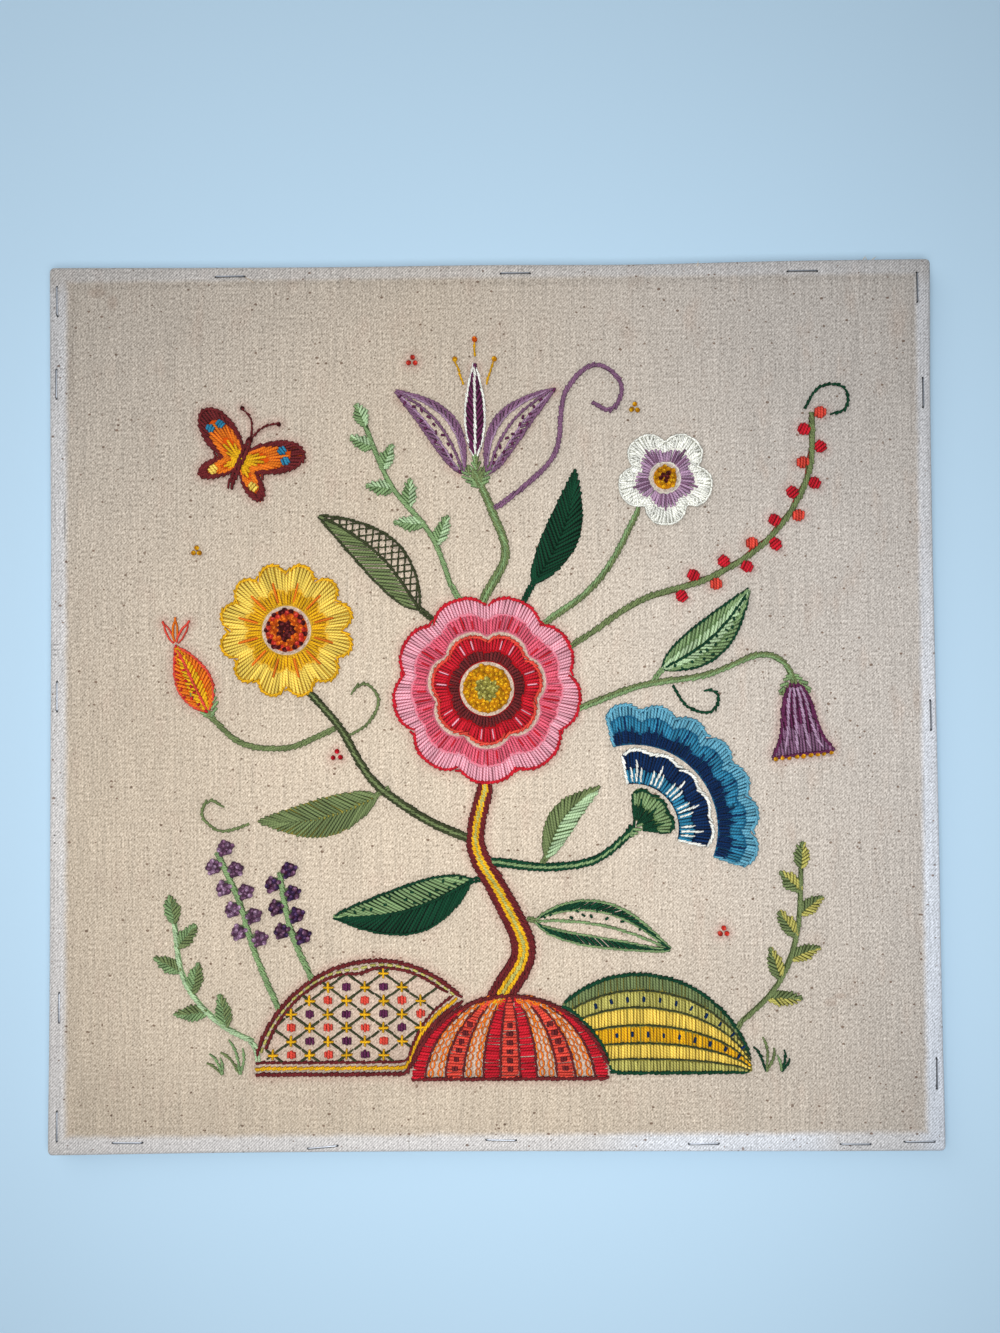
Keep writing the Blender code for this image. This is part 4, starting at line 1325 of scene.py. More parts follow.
def sewing_tree():
    """A stitch or a knot on each point, bent to its bow, over the padding and in one wool."""
    inputs = (
        ("Stitch", "Object"),
        ("Knot", "Object"),
        ("Padding", "Object"),
        ("Spread", "Float"),
        ("Seed", "Int"),
        ("Finish", "Material"),
    )
    nodes, given = new_tree("Sew stitches", inputs)
    knot = nodes.named("knot", "BOOLEAN")
    plain = nodes.add("FunctionNodeBooleanMath", {"operation": "NOT"}, {0: knot})
    spread = given.other("Spread")
    uneven = nodes.uneven(1 - spread, spread + 1, given.other("Seed"))
    sockets = {0: nodes.named("span"), 1: nodes.point(1.0, uneven, uneven)}
    span = nodes.add("ShaderNodeVectorMath", {"operation": "MULTIPLY"}, sockets)
    turn = nodes.add("FunctionNodeEulerToRotation", {}, {0: nodes.named("turn")})
    placed = []
    for name, chosen in (("Stitch", plain), ("Knot", knot)):
        shape = nodes.shape(given.other(name))
        sockets = {"Points": given, "Selection": chosen, "Instance": shape, "Rotation": turn, "Scale": span}
        placed.append(nodes.add("GeometryNodeInstanceOnPoints", {}, sockets))
    joined = nodes.add("GeometryNodeJoinGeometry", {}, {0: placed})
    real = nodes.add("GeometryNodeRealizeInstances", {}, {"Geometry": joined})
    share, _side, _none = nodes.parts(nodes.named("yarn"))
    arched = nodes.scaled(nodes.named("bow"), share * (1 - share) * 4)
    bent = nodes.add("GeometryNodeSetPosition", {}, {"Geometry": real, "Offset": arched})
    padding = nodes.shape(given.other("Padding"))
    whole = nodes.add("GeometryNodeJoinGeometry", {}, {0: [bent, padding]})
    return finished(nodes, given, whole, Selection=nodes.named("sewn", "BOOLEAN"))


def finished(nodes, given, geometry, **sockets):
    """The end of a geometry tree: plain geometry in the given material."""
    real = nodes.add("GeometryNodeRealizeInstances", {}, {"Geometry": geometry})
    sockets |= {"Geometry": real, "Material": given.other("Finish")}
    nodes.add("NodeGroupOutput", {}, {0: nodes.add("GeometryNodeSetMaterial", {}, sockets)})
    return nodes.tree


def write_attribute(mesh, name, kind, values):
    """Writes one value for each point."""
    attribute = mesh.attributes.new(name, kind, "POINT")
    field = {"FLOAT_VECTOR": "vector", "FLOAT_COLOR": "color"}.get(kind, "value")
    if kind in ("FLOAT_VECTOR", "FLOAT_COLOR"):
        values = [part for value in values for part in value]
    attribute.data.foreach_set(field, values)


def keep_as_mesh(item, name):
    """The object as its modifiers make it, as a plain mesh of that name; the first one goes."""
    graph = bpy.context.evaluated_depsgraph_get()
    result = item.evaluated_get(graph)
    mesh = bpy.data.meshes.new_from_object(result, preserve_all_data_layers=True, depsgraph=graph)
    mesh.name = name
    bpy.data.objects.remove(item)
    return link_object(name, mesh)


def grow(name, places, attributes, tree, values):
    """The plain mesh that a tree makes on points at places in millimetres, with their attributes."""
    mesh = bpy.data.meshes.new(name)
    mesh.from_pydata([tuple(part * MM for part in place) for place in places], [], [])
    for attribute, kind, rows in attributes:
        write_attribute(mesh, attribute, kind, rows)
    points = link_object(name, mesh)
    modifier = points.modifiers.new(tree.name, "NODES")
    modifier.node_group = tree
    for item in tree.interface.items_tree:
        if item.item_type == "SOCKET" and item.in_out == "INPUT" and item.name in values:
            modifier[item.identifier] = values[item.name]
    return keep_as_mesh(points, name)


def part_of(piece, slot, *nodes):
    """Puts a finished piece on the panel, for the solids it stands for, and hides those solids; the slot is
    not used.
    """
    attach(piece, BODY)
    if nodes:
        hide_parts(*nodes)
    return piece


def padding_form(node):
    """A solid's low form, drawn in a little, that lies under its stitches."""
    form = bmesh.new()
    form.from_mesh(frame["nodes"][node].data)
    bmesh.ops.remove_doubles(form, verts=form.verts, dist=SAME_PLACE * MM)
    form.normal_update()
    for vert in form.verts:
        outward = Vector(vert.normal[:2])
        if outward.length > WALL_NORMAL:
            vert.co.xy -= outward.normalized() * PADDING_INSET * MM
        lift = (vert.co.z / MM - PAD_BASE) * PADDING_SHARE
        vert.co.z = (FRONT - PADDING_SINK + lift) * MM
    return form


class Work:
    """The stitches over one solid, or on the bare cloth, until they are sewn into a mesh."""

    def __init__(self, wool, node):
        self.wool = wool
        self.node = node
        self.name = node + "_stitches"
        self.chance = random.Random(self.name)
        self.width = wool.yarn_width / MM
        self.thickness = wool.yarn_thickness / MM
        self.pad = padding_form(node) if node in frame["nodes"] else bmesh.new()
        self.ground = BVHTree.FromBMesh(self.pad)
        self.spine = None
        self.rows = {name: [] for name, _kind in SEWN_ATTRIBUTES}
        self.places = []

    def height(self, spot):
        """How far the padding stands above the cloth at a spot."""
        hit = self.ground.ray_cast(Vector((spot.x * MM, spot.y * MM, 1.0)), Vector((0, 0, -1)))[0]
        return 0.0 if hit is None else max(hit.z / MM - FRONT, 0.0)

    def near(self, spot, play=STITCH_PLAY):
        """A spot as a hand hits it."""
        return Vector(spot) + Vector([self.chance.uniform(-play, play) for _axis in range(2)])

    def record(self, spot, level, turn, span, bow, colour, knot):
        """Notes one stitch or knot."""
        tone = self.chance.uniform(*TONE_PLAY)
        values = {
            "turn": turn,
            "span": [part * MM for part in span],
            "bow": [part * MM for part in bow],
            "grain": (span[0], self.chance.random(), 0.0),
            "thread": linear(getattr(self.wool, colour), tone),
            "knot": knot,
            "sewn": True,
        }
        for name, value in values.items():
            self.rows[name].append(value)
        self.places.append((spot.x, spot.y, FRONT + level))
        if colour in DYES_THAT_RUN:
            dyed_spots.append(spot)
        needle_spots.append(spot)

    def stitch(self, start, end, colour, width=1.0, thickness=1.0, level=0.0, side=0.0):
        """One stitch from spot to spot, over whatever padding is there, bowed to its left by side."""
        start = self.near(start)
        end = self.near(end)
        run = end - start
        if run.length < SHORTEST_STITCH:
            return
        left = Vector((-run.y, run.x)) / run.length
        middle = (start + end) / 2
        foot = self.height(start)
        head = self.height(end)
        crown = max(self.height(middle + left * side) - (foot + head) / 2, 0.0)
        turn = (0.0, -math.atan2(head - foot, run.length), math.atan2(run.y, run.x))
        span = (run.length, self.width * width, self.thickness * thickness)
        bow = (left.x * side, left.y * side, crown)
        self.record(middle, (foot + head) / 2 + level, turn, span, bow, colour, False)

    def knot(self, spot, colour, size=KNOT_SIZE, level=0.0):
        """One wound knot."""
        spot = self.near(spot, KNOT_PLAY)
        tilt = [self.chance.uniform(-KNOT_TILT, KNOT_TILT) for _axis in range(2)]
        turn = (*tilt, self.chance.uniform(0, math.tau))
        span = (size, size, size * self.chance.uniform(*KNOT_RISE))
        self.record(spot, self.height(spot) + level + KNOT_LEVEL, turn, span, (0, 0, 0), colour, True)

    def line(self, points, colour, width=1.0, reach=LINE_REACH, level=0.0):
        """A rope of overlapping slanted stitches along a row of points."""
        path = paced(points, reach, 2)
        lean = self.width * width * LINE_LEAN
        for (near, near_left), (far, far_left) in zip(path, path[2:]):
            start = near - near_left * lean
            self.stitch(start, far + far_left * lean, colour, width * LINE_SHARE, level=level)
        self.stitch(path[0][0], path[1][0], colour, width * LINE_START_SHARE, level=level)

    def dashes(self, points, colour, width, reach, share, level):
        """Straight stitches a reach apart, each a share of it long."""
        path = paced(points, reach)
        for (near, _left), (far, _far_left) in zip(path, path[1:]):
            self.stitch(near, near.lerp(far, share), colour, width, level=level)

    def chain(self, points, colour):
        """Links of two bowed stitches each."""
        path = paced(points, CHAIN_LINK)
        for (near, _left), (far, _far_left) in zip(path, path[1:]):
            for side in (-CHAIN_BREADTH / 2, CHAIN_BREADTH / 2):
                self.stitch(near, near.lerp(far, CHAIN_OVERLAP), colour, CHAIN_WIDTH, level=0.05, side=side)

    def loop(self, base, tip, colour):
        """One detached link with a small stitch that holds its tip."""
        for side in (-1.0, 1.0):
            self.stitch(base, tip, colour, LOOP_WIDTH, side=side)
        hold = [Vector(base).lerp(Vector(tip), share) for share in LOOP_HOLD]
        self.stitch(*hold, colour, LOOP_WIDTH, level=0.2)

    def edging(self, points, colour):
        """A rim of linked stitches with a spoke to the left at each step."""
        path = paced(points, EDGING_PITCH, 2)
        for (near, left), (far, _far_left) in zip(path, path[1:]):
            self.stitch(near, near + left * EDGING_SPOKE, colour, EDGING_WIDTH, level=0.4)
            self.stitch(near, near.lerp(far, EDGING_OVERLAP), colour, EDGING_WIDTH, level=0.55)

    def dot(self, centre, radius, colour, angle, level=0.2):
        """A round spot of close parallel stitches."""
        way, across = ways(angle)
        rows = max(round(2 * radius / (self.width * DOT_PITCH)), 2)
        for row in range(rows):
            offset = radius * ((row + 0.5) / rows * 2 - 1)
            half = math.sqrt(max(radius ** 2 - offset ** 2, 0.1)) + DOT_SPARE
            spot = Vector(centre) + across * offset
            self.stitch(spot - way * half, spot + way * half, colour, thickness=DOT_THICKNESS, level=level)

    def cross(self, centre, arm, colour):
        """Two short stitches over each other."""
        for angle in (0, 90):
            way = polar((0, 0), arm, angle)
            self.stitch(centre - way, centre + way, colour, CROSS_WIDTH, level=0.5)

    def knots_round(self, centre, radius, count, colours, size=KNOT_SIZE):
        """Knots packed in a round, in colours from its middle outwards."""
        for number in range(count):
            spot = polar(centre, radius * math.sqrt((number + 0.5) / count), GOLDEN_ANGLE * number)
            self.knot(spot, colours[number * len(colours) // count], size)

    def across(self, lefts, rights, colour, slant):
        """Close stitches from one edge to the other."""
        start, end = at(lefts, 0.5 - slant), at(rights, 0.5 + slant)
        count = rows_along(between(lefts, rights), start, end, STITCH_PITCH)
        for number in range(count):
            share = (number + 0.5) / count
            self.stitch(at(lefts, share - slant), at(rights, share + slant), colour)

    def band(self, near, far, colour):
        """Close stitches from one line to another."""
        count = max(round(max(run_length(near), run_length(far)) / STITCH_PITCH), 1)
        for (start, _left), (end, _far_left) in zip(walk(near, count), walk(far, count)):
            self.stitch(start, end, colour)

    def fishbone(self, lefts, rights, colours, pitch=RIB_PITCH, lean=RIB_LEAN, width=1.0):
        """Slanted stitches from each edge that cross on the spine, as ribs on a leaf."""
        spine = between(lefts, rights)
        self.stitch(at(spine, SPINE_TIP), spine[-1], colours[0], width, level=0.1)
        count = rows_along(spine, at(spine, 0.5 - lean), at(lefts, 0.5), pitch)
        for number in range(count):
            share = RIB_FIRST + RIB_SPAN * (number + 0.5) / count
            for place, edge in enumerate((lefts, rights)):
                foot = at(spine, share - lean)
                rim = at(edge, share)
                over = (foot - rim).normalized()
                start = rim - over * self.chance.uniform(*RIB_SPIKE)
                self.stitch(start, foot + over * RIB_CROSSING, colours[place], width, level=0.06 * place)

    def fill(self, outline, angle, length, colour_at):
        """Long and short stitches side by side, in rows whose ends never line up."""
        way, across = ways(angle)
        places = [spot.dot(across) for spot in outline]
        rows = max(round((max(places) - min(places)) / STITCH_PITCH), 1)
        for row in range(rows):
            origin = across * (min(places) + (row + 0.5) / rows * (max(places) - min(places)))
            for low, high in chords(outline, origin, way):
                place = low
                while high - place > FILL_LEAST:
                    reach = length * self.chance.uniform(*FILL_REACH)
                    if place == low:
                        reach *= FILL_FIRST[row % 2]
                    end = place + reach
                    if high - end < length * FILL_REST:
                        end = high
                    start = place if place == low else place - FILL_OVERLAP
                    colour = colour_at(origin + way * (start + end) / 2)
                    self.stitch(origin + way * start, origin + way * end, colour)
                    place = end

    def rays(self, centre, inner, outer, angles, zones):
        """Stitches that fan out from a centre between two edges, in zones from the inner one."""
        low, high = angles
        shares = [step / RAY_SAMPLES for step in range(RAY_SAMPLES)]
        depths = [(inner(share), outer(share)) for share in shares]
        for near, far, colour in zones:
            radius = max(start + (end - start) * (near + far) / 2 for start, end in depths)
            count = max(round(math.radians(abs(high - low)) * radius / STITCH_PITCH), 3)
            for number in range(count):
                share = (number + 0.5) / count
                start = inner(share)
                reach = outer(share) - start
                ends = []
                for edge in (near, far):
                    depth = edge + self.chance.uniform(-RAY_PLAY, RAY_PLAY)
                    ends.append(polar(centre, start + reach * depth, low + (high - low) * share))
                self.stitch(*ends, colour, level=0.1 * near)

    def trellis(self, outline, pitch, angles, colour, width, level):
        """Long laid stitches in two ways across an outline; gives their crossings and the spots between."""
        laid = []
        for number, angle in enumerate(angles):
            way, across = ways(angle)
            places = [spot.dot(across) for spot in outline]
            rows = range(math.ceil(min(places) / pitch), math.floor(max(places) / pitch) + 1)
            offsets = [pitch * row for row in rows]
            laid.append((across, offsets))
            for offset in offsets:
                for low, high in chords(outline, across * offset, way):
                    if high - low > pitch * LAID_LEAST:
                        run = [across * offset + way * low, across * offset + way * high]
                        reach = max(pitch / 2, LAID_REACH)
                        self.dashes(run, colour, width, reach, LAID_OVERLAP, level + 0.1 * number)
        crossings = []
        centres = []
        (across_a, offsets_a), (across_b, offsets_b) = laid
        scale = across_a.x * across_b.y - across_a.y * across_b.x
        for a in offsets_a:
            for b in offsets_b:
                for spots, shift in ((crossings, 0.0), (centres, pitch / 2)):
                    c, d = a + shift, b + shift
                    spot = Vector((c * across_b.y - d * across_a.y, d * across_a.x - c * across_b.x)) / scale
                    if inside(outline, spot):
                        spots.append(spot)
        return crossings, centres

    def seeds(self, outline, count, colours):
        """Short stitches strewn at all angles inside an outline."""
        lows = [min(spot[axis] for spot in outline) for axis in range(2)]
        highs = [max(spot[axis] for spot in outline) for axis in range(2)]
        taken = []
        tries = 0
        while len(taken) < count and tries < count * SEED_TRIES:
            tries += 1
            spot = Vector([self.chance.uniform(low, high) for low, high in zip(lows, highs)])
            if inside(outline, spot) and all((spot - other).length > SEED_ROOM for other in taken):
                taken.append(spot)
                way = polar((0, 0), SEED_LENGTH / 2, self.chance.uniform(0, 180))
                self.stitch(spot - way, spot + way, self.chance.choice(colours), SEED_WIDTH, level=0.5)

    def sew(self):
        """Turns what was noted into one piece, in its solid's slot and place if it has one."""
        slot = slot_of(self.node)
        finish = make_finish(slot, wool_finish, self.wool)
        padding = self.lay_padding(getattr(self.wool, slot.removeprefix("wool_")), finish)
        values = {
            "Stitch": sewing["stitch"],
            "Knot": sewing["knot"],
            "Padding": padding,
            "Spread": self.wool.spread,
            "Seed": len(self.places),
            "Finish": finish,
        }
        attributes = [(name, kind, self.rows[name]) for name, kind in SEWN_ATTRIBUTES]
        piece = grow(self.name, self.places, attributes, sewing["tree"], values)
        bpy.data.objects.remove(padding)
        part_of(piece, slot, *[self.node] if self.node in frame["nodes"] else [])

    def lay_padding(self, colour, finish):
        """The padding as an object that carries what its finish reads."""
        yarn = self.pad.loops.layers.uv.new("yarn")
        cut = self.pad.loops.layers.uv.new("cut")
        for face in self.pad.faces:
            face.smooth = True
            for corner in face.loops:
                # A place on a stitch's flank, so that the padding takes its painted shade
                corner[yarn].uv = (0.5, 0.0)
                corner[cut].uv = corner.vert.co.xy / MM / FLAT_SIDE + Vector((0.5, 0.5))
        mesh = bpy.data.meshes.new("padding")
        self.pad.to_mesh(mesh)
        self.pad.free()
        count = len(mesh.vertices)
        shades = [linear(colour, PADDING_TONE)] * count
        if self.spine:
            route, along = self.spine
            for vertex in mesh.vertices:
                if min((vertex.co.xy / MM - spot).length for spot in route) < SPINE_REACH:
                    shades[vertex.index] = linear(getattr(self.wool, along), PADDING_TONE)
        halo = PADDING_HALO[self.node in DYED_GROUNDS]
        write_attribute(mesh, "thread", "FLOAT_COLOR", shades)
        write_attribute(mesh, "grain", "FLOAT_VECTOR", [(1.0, 0.5, 0.0)] * count)
        write_attribute(mesh, "halo", "FLOAT", [halo] * count)
        mesh.materials.append(bare_cloth() if self.node in OPEN_GROUNDS else finish)
        return link_object("padding", mesh)


def mound_edges(name):
    """The top edge and the foot of one mound; the front one hides the feet of the others."""
    middle, half_width, foot, _crest = MOUNDS[name]
    front = MOUNDS["mound_front"]
    tops = []
    feet = []
    for step in range(MOUND_STEPS + 1):
        x = middle + half_width * (2 * step / MOUND_STEPS - 1)
        low = foot
        if name != "mound_front" and abs(x - front[0]) < front[1] + MOUND_GAP:
            low = max(low, arch(x, *front) + MOUND_GAP)
        high = arch(x, *MOUNDS[name])
        if high - low > TIP_WIDTH:
            tops.append(Vector((x, high)))
            feet.append(Vector((x, low)))
    return tops, feet


def bare_cloth():
    """The ground cloth's look, for padding that shows between open stitches."""
    return make_finish("twill", twill_finish, bpy.context.scene.crewel.twill)


def drawn_in(outline, inset):
    """An outline moved towards its own middle by about an inset."""
    middle = sum(outline, Vector((0, 0))) / len(outline)
    return [spot + (middle - spot).normalized() * inset for spot in outline]


def meridian(place):
    """The line from the front mound's foot up to its crest, at a share of its half width."""
    middle, half_width, foot, crest = MOUNDS["mound_front"]
    line = []
    for step in range(MERIDIAN_STEPS + 1):
        rise = MERIDIAN_TOP * step / MERIDIAN_STEPS
        reach = math.sqrt(1 - rise ** (1 / MOUND_POWER)) * (half_width - MERIDIAN_INSET)
        height = foot + MERIDIAN_FOOT + rise * (crest - foot - MERIDIAN_INSET)
        line.append(Vector((middle + place * reach, height)))
    return line


def sew_front_mound(work):
    """Ribs like a melon's: satin by turns with rows of links on the open cloth."""
    lines = [meridian(place / RIB_PLACES[-1]) for place in RIB_PLACES]
    for near, far, colour in zip(lines, lines[1:], RIB_COLOURS):
        if colour == "orange":
            for share in CHAIN_SHARES:
                work.chain(between(near, far, share), colour)
        else:
            work.band(near, far, colour)
        if colour == "coral":
            for spot, _left in walk(between(near, far)[:RIB_DOTS_END], RIB_DOTS + 1)[1:-1]:
                work.dot(spot, RIB_DOT, "burgundy", 90, level=0.5)
    for line in lines[1:-1]:
        work.line(line[:RIB_LINES_END], "burgundy", 0.6, level=0.3)
    tops, feet = mound_edges(work.node)
    work.line(drawn_in(tops, RIM_INSET), "burgundy", 1.05, level=0.55)
    work.line(feet, "burgundy", 1.05, level=0.4)


def sew_left_mound(work):
    """An open trellis over raised cloth, with crosses where it crosses and dots between."""
    tops, feet = mound_edges(work.node)
    floor_lift = LEFT_FOOT_ROWS[-1][0]
    foot = MOUNDS[work.node][2] + floor_lift
    clear = [
        spot
        for spot in drawn_in(tops, TRELLIS_INSET)
        if spot.y > foot and all((spot - other).length > TRELLIS_CLEAR for other in feet)
    ]
    floor = [spot + Vector((0, floor_lift)) for spot in feet if clear[0].x < spot.x < clear[-1].x]
    outline = clear + floor[::-1]
    crossings, centres = work.trellis(outline, TRELLIS_PITCH, TRELLIS_ANGLES, "olive", 0.74, 0.05)
    for spot in crossings:
        work.cross(spot, CROSS_ARM, "gold")
    roomy = [spot for spot in centres if min((spot - other).length for other in clear) > DOT_ROOM]
    for number, spot in enumerate(roomy):
        work.dot(spot, TRELLIS_DOT, ("coral", "plum")[number % 2], 90, level=0.1)
    work.line(drawn_in(tops, RIM_INSET), "burgundy", 1.1, level=0.1)
    work.dashes(drawn_in(tops, DASH_INSET), "lime", 0.9, DASH_REACH, DASH_SHARE, 0.05)
    work.line(clear, "burgundy", 0.9, level=0.05)
    for lift, colour, width in LEFT_FOOT_ROWS:
        row = [low + Vector((0, lift)) for high, low in zip(tops, feet) if low.y + lift < high.y - 1.0]
        work.line(row, colour, width, level=0.1)


def sew_right_mound(work):
    """Arched bands of satin that go down behind the front mound, with two rows of seeds."""
    tops, feet = mound_edges(work.node)
    foot = MOUNDS[work.node][2]

    def arc(share, clear=0.6):
        """What shows of an arched line at a share of the way down."""
        line = [Vector((high.x, high.y + (foot - high.y) * share)) for high in tops]
        return [spot for spot, low in zip(line, feet) if spot.y > low.y + clear]

    columns = round((tops[-1].x - tops[0].x) / STITCH_PITCH)
    for column in range(columns):
        high = at(tops, (column + 0.5) / columns)
        low = at(feet, (column + 0.5) / columns)
        for near, far, colour in zip(ARC_SHARES, ARC_SHARES[1:], ARC_COLOURS):
            start = high.y - 0.4 + (foot - high.y) * near
            end = max(high.y + (foot - high.y) * far, low.y + 0.2)
            if start - end > SHORTEST_STITCH:
                work.stitch((high.x, start), (high.x, end), colour)
    for share in MOUND_SEED_SHARES:
        for spot, left in paced(arc(share, 1.6), MOUND_SEED_PITCH)[1:-1]:
            way = left * MOUND_SEED_LENGTH / 2
            work.stitch(spot - way, spot + way, "navy", 0.9, level=0.5)
    for share in ARC_SHARES[1:-1]:
        work.line(arc(share), "olive", 0.55, level=0.12)
    work.line(drawn_in(tops, RIM_INSET), "forest", 1.0, level=0.25)
    work.line(feet, "forest", 1.0, level=0.15)


def stem_rows(work, route, widths, colours, width=1.0, level=0.0, reaches=(0.0, 0.0)):
    """Rows of stem stitch side by side along a stem, and past its ends by two reaches."""
    points = curve(route)
    root = (points[0] - points[END_POINTS]).normalized() * reaches[0]
    end = (points[-1] - points[-1 - END_POINTS]).normalized() * reaches[1]
    path = walk([points[0] + root, *points, points[-1] + end], STEM_STEPS)
    for row, colour in enumerate(colours):
        across = 0.5 - (row + 0.5) / len(colours)
        line = []
        for step, (spot, left) in enumerate(path):
            wide = widths[0] + (widths[1] - widths[0]) * step / STEM_STEPS
            line.append(spot + left * across * max(wide - STEM_INSET, NARROWEST_STEM))
        work.line(line, colour, width, level=level)


def sew_stem(work):
    """One stem of a few rows."""
    route, *widths = STEMS[work.node]
    colours, width, *reaches = STEM_WORK[work.node]
    stem_rows(work, route, widths, colours, width, reaches=reaches)


def sew_leaf(work):
    """One leaf, petal or bud in its own kind of stitch."""
    style, near, far, vein, inner, seeds, half = LEAF_WORK[work.node]
    base, tip, width, bow = LEAVES[work.node]
    lefts, rights = leaf_sides(base, tip, width - LEAF_INSET, bow)
    spine = between(lefts, rights)
    if style == "fishbone":
        work.fishbone(lefts, rights, (near, far))
    elif style in ("halves", "lattice"):
        work.across(lefts, spine, near, LEAF_SLANT)
    if style == "halves":
        work.across(rights, spine, far, LEAF_SLANT)
    elif style == "lattice":
        facing = math.degrees(math.atan2(*(rights[-1] - rights[0]).yx))
        angles = (facing + LATTICE_LEAN, facing - LATTICE_LEAN)
        work.trellis(rights + spine[::-1], LATTICE_PITCH, angles, far, 0.55, 0.1)
    elif style in LEAF_OUTER_SHARES:
        for edge, colour in ((lefts, near), (rights, far)):
            middle = between(edge, spine, LEAF_OUTER_SHARES[style])
            work.across(edge, middle, colour, BAND_SLANT)
            if style == "open":
                work.line(walked(middle, *BAND_ENDS), inner, 0.6, level=0.1)
            else:
                work.across(middle, spine, inner, BAND_SLANT)
    if style != "fishbone":
        work.line(walked(spine, *VEIN_ENDS), vein, 0.75, level=0.35)
        work.line(lefts, vein, 0.7, level=0.15)
        work.line(rights, vein, 0.7, level=0.15)
    if seeds:
        rim, heart = (between((lefts, rights)[half], spine, share) for share in SEED_BORDERS)
        work.seeds(rim + heart[::-1], SEEDS_IN_HALF, (seeds,))


def walked(points, start, end):
    """Part of a row of points, from share to share."""
    return [at(points, start + (end - start) * step / WALKED_STEPS) for step in range(WALKED_STEPS + 1)]


def slot_of(name):
    """The record slot of a solid, or that of the small things on the bare cloth."""
    slots = {row["node"]: row["material_slot"] for row in frame["record"]["subparts"]}
    return slots.get(name, "wool_sage")


def petal_edges(name):
    """A ring's or fan's centre, first and last angle, inner and outer radius functions and lobes."""
    if name in FANS:
        centre, facing, spread, low, high, lobes, notch = FANS[name]
        angles = (facing + spread - FAN_INSET, facing - spread + FAN_INSET)
        low_lobes, low_notch, clear = 1, 0.0, FAN_CLEAR
    else:
        centre, (low_lobes, low, low_notch), (lobes, high, notch), turn = PETAL_RINGS[name]
        angles = (turn, turn + 360)
        clear = RING_CLEAR

    def inner(share):
        return low + clear - scallop(share % 1.0, low_lobes, low_notch)

    def outer(share):
        return high - PETAL_INSET - scallop(share % 1.0, lobes, notch)

    return centre, angles, inner, outer, lobes


def petal_rim(name):
    """The scalloped outer edge of a ring or a fan."""
    centre, (low, high), _inner, outer, lobes = petal_edges(name)
    steps = lobes * (FAN_LOBE_STEPS if name in FANS else RING_LOBE_STEPS)
    shares = [step / steps for step in range(steps + 1)]
    return [polar(centre, outer(share), low + (high - low) * share) for share in shares]


def petal_run(name, share, reaches):
    """A straight line out along a petal, between two shares of its length."""
    centre, (low, high), inner, outer, _lobes = petal_edges(name)
    start = inner(share)
    depth = outer(share) - start
    return [polar(centre, start + depth * reach, low + (high - low) * share) for reach in reaches]


def sew_petals(work):
    """The petals of one ring or fan: zones of colour from the heart outwards, then rims and lines."""
    name = work.node
    centre, angles, inner, outer, lobes = petal_edges(name)
    zones, *steps = PETAL_WORK[name]
    work.rays(centre, inner, outer, angles, zones)
    for kind, colour, *details in steps:
        if kind == "rim":
            work.line(petal_rim(name), colour, details[0], level=details[1])
        elif kind == "edging":
            work.edging(petal_rim(name), colour)
        elif kind == "lines":
            places, reaches, width = details
            for share in [(lobe + 0.5 + place) / lobes for lobe in range(lobes) for place in places]:
                work.stitch(*petal_run(name, share, reaches), colour, width, level=0.5)
        elif kind == "fan":
            work.line(petal_rim(name), colour, 0.95, level=0.2)
            for share in (0.0, 1.0):
                work.line(petal_run(name, share, (0.0, 1.0)), colour, 0.85, level=0.2)
            for lobe in range(lobes):
                for place, reach in FAN_RIBS:
                    run = petal_run(name, (lobe + place) / lobes, (0.06, reach))
                    work.line(run, details[0], 0.62, reach=1.7, level=0.45)


def sew_heart(work):
    """A round of knots in the middle of a flower."""
    centre, radius = HEARTS[work.node]
    inset, count, colours, size = HEART_WORK[work.node]
    work.knots_round(centre, radius - inset, count, colours, size)


def sew_bell(work):
    """A hanging bell: plum with lilac veins and a row of gold knots at its mouth."""
    base = Vector(BELL_BASE)
    run = Vector(BELL_TIP) - base
    side = Vector((-run.y, run.x)).normalized()
    lefts = [base + run * share + side * (half - BELL_INSET) for share, half in BELL_PROFILE]
    rights = [base + run * share - side * (half - BELL_INSET) for share, half in BELL_PROFILE]

    def colour_at(spot):
        return "plum" if (spot - base).dot(run) / run.length_squared < BELL_PLUM_SHARE else "mauve"

    work.fill(lefts + rights[::-1], math.degrees(math.atan2(run.y, run.x)), BELL_STITCH, colour_at)
    for share in BELL_VEINS:
        work.line(walked(between(lefts, rights, share), *BELL_VEIN_ENDS), "lilac", 0.85, level=0.45)
    for edge in (lefts, rights, [lefts[-1], rights[-1]]):
        work.line(edge, "plum", 0.95, level=0.15)
    for number in range(BELL_KNOTS):
        spot = lefts[-1].lerp(rights[-1], (number + 0.5) / BELL_KNOTS)
        work.knot(spot + run.normalized() * BELL_KNOTS_OUT, "gold")


def wing_radius(angle):
    """The butterfly's outline at an angle from its head."""
    from_head = min(angle % 360, 360 - angle % 360)
    return BUTTERFLY_BODY + sum(
        reach * math.exp(-(((from_head - middle) / spread) ** 2)) for middle, reach, spread in WING_LOBES
    )


